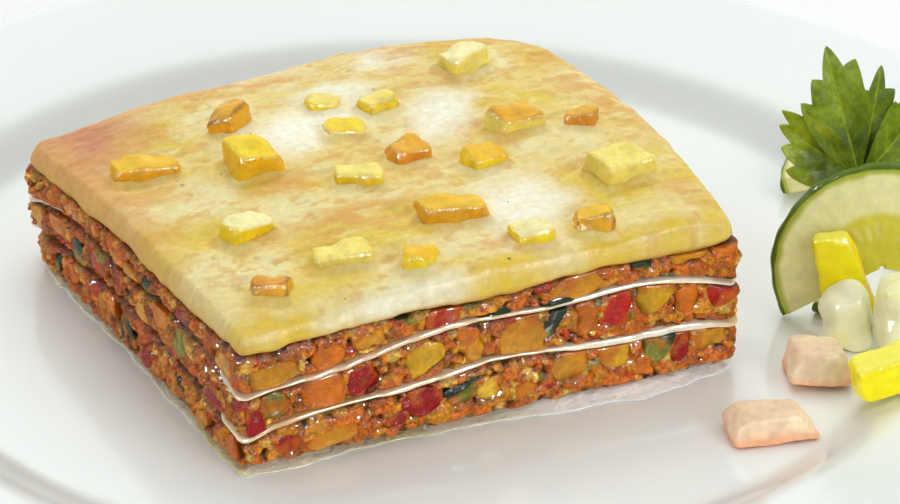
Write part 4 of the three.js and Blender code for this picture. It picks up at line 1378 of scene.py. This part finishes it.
# Parsley: each leaflet's vein as an angle from upright, how far forward it lies, its painted
# highlight (how much paler it is), and its corners as angle and reach, from notch to tip to notch.
LEAFLETS = [
    (-54, 0.5, 0.6, [
        (-102, 7), (-80, 17.8), (-75, 15.8), (-66, 20.2), (-61, 18.2), (-55.5, 22.6), (-51, 21),
        (-47.5, 24.6), (-41, 20.5), (-36, 21.5), (-31, 16), (-20, 6),
    ]),
    (-15, 0.0, 0.3, [
        (-52, 8), (-37, 23.6), (-32, 21.6), (-25.5, 26.4), (-20.5, 25), (-14, 31.6), (-8.5, 26.6),
        (-2.5, 28.2), (1, 22.5), (8, 8),
    ]),
    (11, -0.8, 0.0, [
        (-6, 7), (2, 21), (5.5, 20.6), (11.5, 26.4), (15.5, 21.6), (20.5, 22.4), (24, 17.5), (30, 7),
    ]),
    (42, 0.2, 0.15, [
        (14, 6), (23, 20), (26, 19.6), (31, 25), (35.5, 21.8), (42, 26), (47, 21.5), (54, 23.4),
        (59, 18.5), (68, 20), (78, 14), (96, 6),
    ]),
]
# the dark green also paints shade at the leaf's middle; the pale green paints the veins and a painted
# highlight on some leaflets
LEAF, LEAF_DARK_AND_SHADE, LEAF_PALE_AND_HIGHLIGHT = (0.17, 0.27, 0.002), (0.05, 0.10, 0.001), (0.42, 0.50, 0.02)
STALK = (0.30, 0.42, 0.06)
VEIN_SPACING = 3.6
STEM_HEIGHT, PARSLEY_AT, LEAF_SCALE = 25.5, (94.2, -32.3), 0.95
PARSLEY_LEAN, PARSLEY_HEADING = math.radians(6), math.radians(-18)


def leaf_outline(corners, steps):
    """Angles and reaches round a leaflet, with curved sides to its pointed teeth."""
    angles, reaches = [], []
    for (a0, r0), (a1, r1) in zip(corners, corners[1:]):
        t = np.linspace(0, 1, steps, endpoint=False)
        ease = 1 - (1 - t) ** 1.3 if r1 > r0 else t**1.3
        angles.append(a0 + (a1 - a0) * t)
        reaches.append(r0 + (r1 - r0) * ease)
    return np.radians(np.concatenate(angles)), np.concatenate(reaches)


def leaflet(number, vein, forward, painted_highlight, corners):
    """One leaflet, folded a little along its vein: points, faces and tone."""
    angle, reach = leaf_outline(corners, 7)
    share = np.linspace(0.03, 1, 30)[:, None]
    radius = share * reach
    x, y = radius * np.sin(angle), radius * np.cos(angle)
    side = radius * np.sin(angle - math.radians(vein))
    place = np.stack([x, y, 0 * x + 40 * number], -1)
    ripple = 0.7 * noise(place, 7, 111) + 0.35 * noise(place, 3, 112)
    quilted = 0.22 * np.sin(side * 1.3) * np.cos(radius * 0.9 + number)
    z = forward + 0.28 * np.abs(side) + (ripple + quilted) * share - 0.006 * radius**2
    half = 0.2 + 0.1 * (1 - share)
    points, faces = slab(np.stack([x, y, z - half], -1), np.stack([x, y, z + half], -1), rows=2)
    out = np.hypot(points[:, 0], points[:, 1])
    around = np.arctan2(points[:, 0], points[:, 1])
    across = out * np.sin(around - math.radians(vein))
    along = out * np.cos(around - math.radians(vein)) - 1.1 * np.abs(across)
    side_veins = np.abs((along / VEIN_SPACING) % 1 - 0.5) * VEIN_SPACING
    tone = tint(
        plain(LEAF, points),
        # painted highlight: some leaflets are paler all over, with random paleness besides
        (LEAF_PALE_AND_HIGHLIGHT, painted_highlight + 0.35 * noise(points, 6, 113 + number)),
        # painted shade: darker towards the leaf's middle, with random dark patches besides
        (LEAF_DARK_AND_SHADE, 0.8 * step(14, 5, out) + 0.5 * step(0.2, -0.6, noise(points, 5, 114))),
        (LEAF_PALE_AND_HIGHLIGHT, 0.6 * step(0.34, 0.08, np.abs(across))),
        (LEAF_PALE_AND_HIGHLIGHT, 0.35 * step(0.3, 0.05, side_veins)),
    )
    return points, faces, tone


def make_parsley():
    material = food_material(
        "parsley leaf", (0.45, 0.6), 1.2, 0.2, [(1.6, 0.2), (0.5, 0.06)],
        scatter=(0.15, (0.5, 1.0, 0.15), 0.8), shine=0.06,
    ).material
    parts = [leaflet(number, *facts) for number, facts in enumerate(LEAFLETS)]
    parts.append(parsley_stem())
    faces, start = [], 0
    for points, quads, _ in parts:
        faces.append(quads + start)
        start += len(points)
    points = np.concatenate([part[0] for part in parts])
    tone = np.concatenate([part[2] for part in parts])
    turn = Euler((math.pi / 2 - PARSLEY_LEAN, 0, PARSLEY_HEADING))
    points = points @ np.array(turn.to_matrix()).T
    low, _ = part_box("parsley_sprig")
    leaf_height = low[2] / MM + STEM_HEIGHT * LEAF_SCALE * math.cos(PARSLEY_LEAN)
    points = points * LEAF_SCALE + [*PARSLEY_AT, leaf_height]
    piece = add_mesh("parsley_leaf", points, np.concatenate(faces), tone, material)
    declare(piece, "parsley", "parsley_sprig")


def parsley_stem():
    """A thin ribbed stalk from the plate up into the leaf."""
    rows, around = 30, 12
    t = np.linspace(0, 1, rows)[:, None]
    angle = np.arange(around) * 2 * np.pi / around
    radius = (1.15 - 0.35 * t) * (1 + 0.08 * np.cos(3 * angle))
    bend = 0.8 * np.sin(np.pi * t)
    x = bend + radius * np.cos(angle)
    z = radius * np.sin(angle)
    y = -STEM_HEIGHT + 1.3 + t * (STEM_HEIGHT + 1.0) + 0 * angle
    rings = np.stack([x, y, z], -1)
    caps = [np.broadcast_to(rings[k].mean(0), (1, around, 3)) for k in (0, -1)]
    points = np.concatenate([caps[0], rings, caps[1]]).reshape(-1, 3)
    faces = ring_faces(rows + 2, around)[:, ::-1]
    return points, faces, plain(STALK, points)


# ---- Stage --------------------------------------------------------------------------------

CAMERA_AT = (-0.26407, -0.64262, 0.39407)
CAMERA_AZIMUTH, CAMERA_ELEVATION = math.radians(-23.115), math.radians(28.5)

# Name, place and size in metres, power, and whether it gives soft light and glints.
LIGHTS = [
    ("key", (0.25, 0.95, 1.15), 0.9, 6.5, True, False),
    ("front fill", (0.5, -1.25, 0.6), 0.7, 6.0, True, False),
    ("sparkle", (0.3, -0.9, 0.85), 0.16, 70, False, True),
    ("left sparkle", (-0.9, -0.35, 0.75), 0.16, 60, False, True),
]
FLOOR_SIDE, FLOOR_DROP = 3.0, 0.0002


def add_camera():
    camera = add_object("camera", bpy.data.cameras.new("camera"))
    camera.data.lens = 144
    camera.data.sensor_width = 36
    camera.location = CAMERA_AT
    flat_reach = math.cos(CAMERA_ELEVATION)
    view = Vector((
        -math.sin(CAMERA_AZIMUTH) * flat_reach,
        math.cos(CAMERA_AZIMUTH) * flat_reach,
        -math.sin(CAMERA_ELEVATION),
    ))
    camera.rotation_euler = view.to_track_quat("-Z", "Y").to_euler()
    bpy.context.scene.camera = camera


def add_light(name, at, size, watts, soft, glints):
    """A square soft box that looks at the slice."""
    light = bpy.data.lights.new(name, "AREA")
    light.size = size
    light.energy = watts
    lamp = add_object(name, light)
    lamp.visible_diffuse = soft
    lamp.visible_glossy = glints
    lamp.location = at
    aim = Vector((0, 0, 0.03)) - Vector(at)
    lamp.rotation_euler = aim.to_track_quat("-Z", "Y").to_euler()


def add_floor():
    mesh = bpy.data.meshes.new("floor")
    corners = [(x * FLOOR_SIDE, y * FLOOR_SIDE, 0) for x, y in ((-1, -1), (1, -1), (1, 1), (-1, 1))]
    mesh.from_pydata(corners, [], [(0, 1, 2, 3)])
    nodes = Nodes("pale floor")
    nodes.colour(nodes.mix(nodes.noise(120), (0.84, 0.84, 0.845), (0.87, 0.87, 0.87)))
    nodes.set(Roughness=0.6)
    mesh.materials.append(nodes.material)
    floor = add_object("floor", mesh)
    floor.location = (0, 0, -FLOOR_DROP)


def add_studio():
    """A pale sky that is brightest behind and above the dish, and the lights."""
    world = bpy.data.worlds.new("studio")
    world.use_nodes = True
    tree = world.node_tree
    background = tree.nodes["Background"]
    direction = tree.nodes.new("ShaderNodeTexCoord").outputs["Generated"]
    toward = tree.nodes.new("ShaderNodeVectorMath")
    toward.operation = "DOT_PRODUCT"
    toward.inputs[1].default_value = Vector((0.15, 0.65, 0.75)).normalized()
    tree.links.new(direction, toward.inputs[0])
    strength = tree.nodes.new("ShaderNodeMapRange")
    strength.inputs["From Min"].default_value = -0.35
    strength.inputs["To Min"].default_value = 0.12
    strength.inputs["To Max"].default_value = 1.18
    tree.links.new(toward.outputs["Value"], strength.inputs["Value"])
    tree.links.new(strength.outputs["Result"], background.inputs["Strength"])
    background.inputs["Color"].default_value = (0.965, 0.99, 0.965, 1)
    bpy.context.scene.world = world
    for light in LIGHTS:
        add_light(*light)
    bpy.context.scene.view_settings.view_transform = "Standard"


# ---- All together ------------------------------------------------------------------------

make_plate()
make_base_sheet()
pasta = pasta_material()
make_sheet("lower_sheet", "lower_pasta_sheet", "lower sheet", 41, 0.7, pasta)
make_sheet("upper_sheet", "upper_pasta_sheet", "upper sheet", 51, 0.15, pasta)
make_fillings()
make_sauce()
make_dice()
cucumber = food_material(
    "cucumber", (0.1, 0.24), 2.2, 0.05, [(2.0, 0.12), (0.7, 0.04)],
    scatter=(0.5, (0.8, 1.0, 0.4), 2.6), coat=0.08, shine=0.2,
).material
for node, facts in CUCUMBERS.items():
    make_cucumber(cucumber, node, *facts)
make_tomato()
make_pepper()
make_peeled_cucumber()
make_parsley()
add_floor()
add_camera()
add_studio()
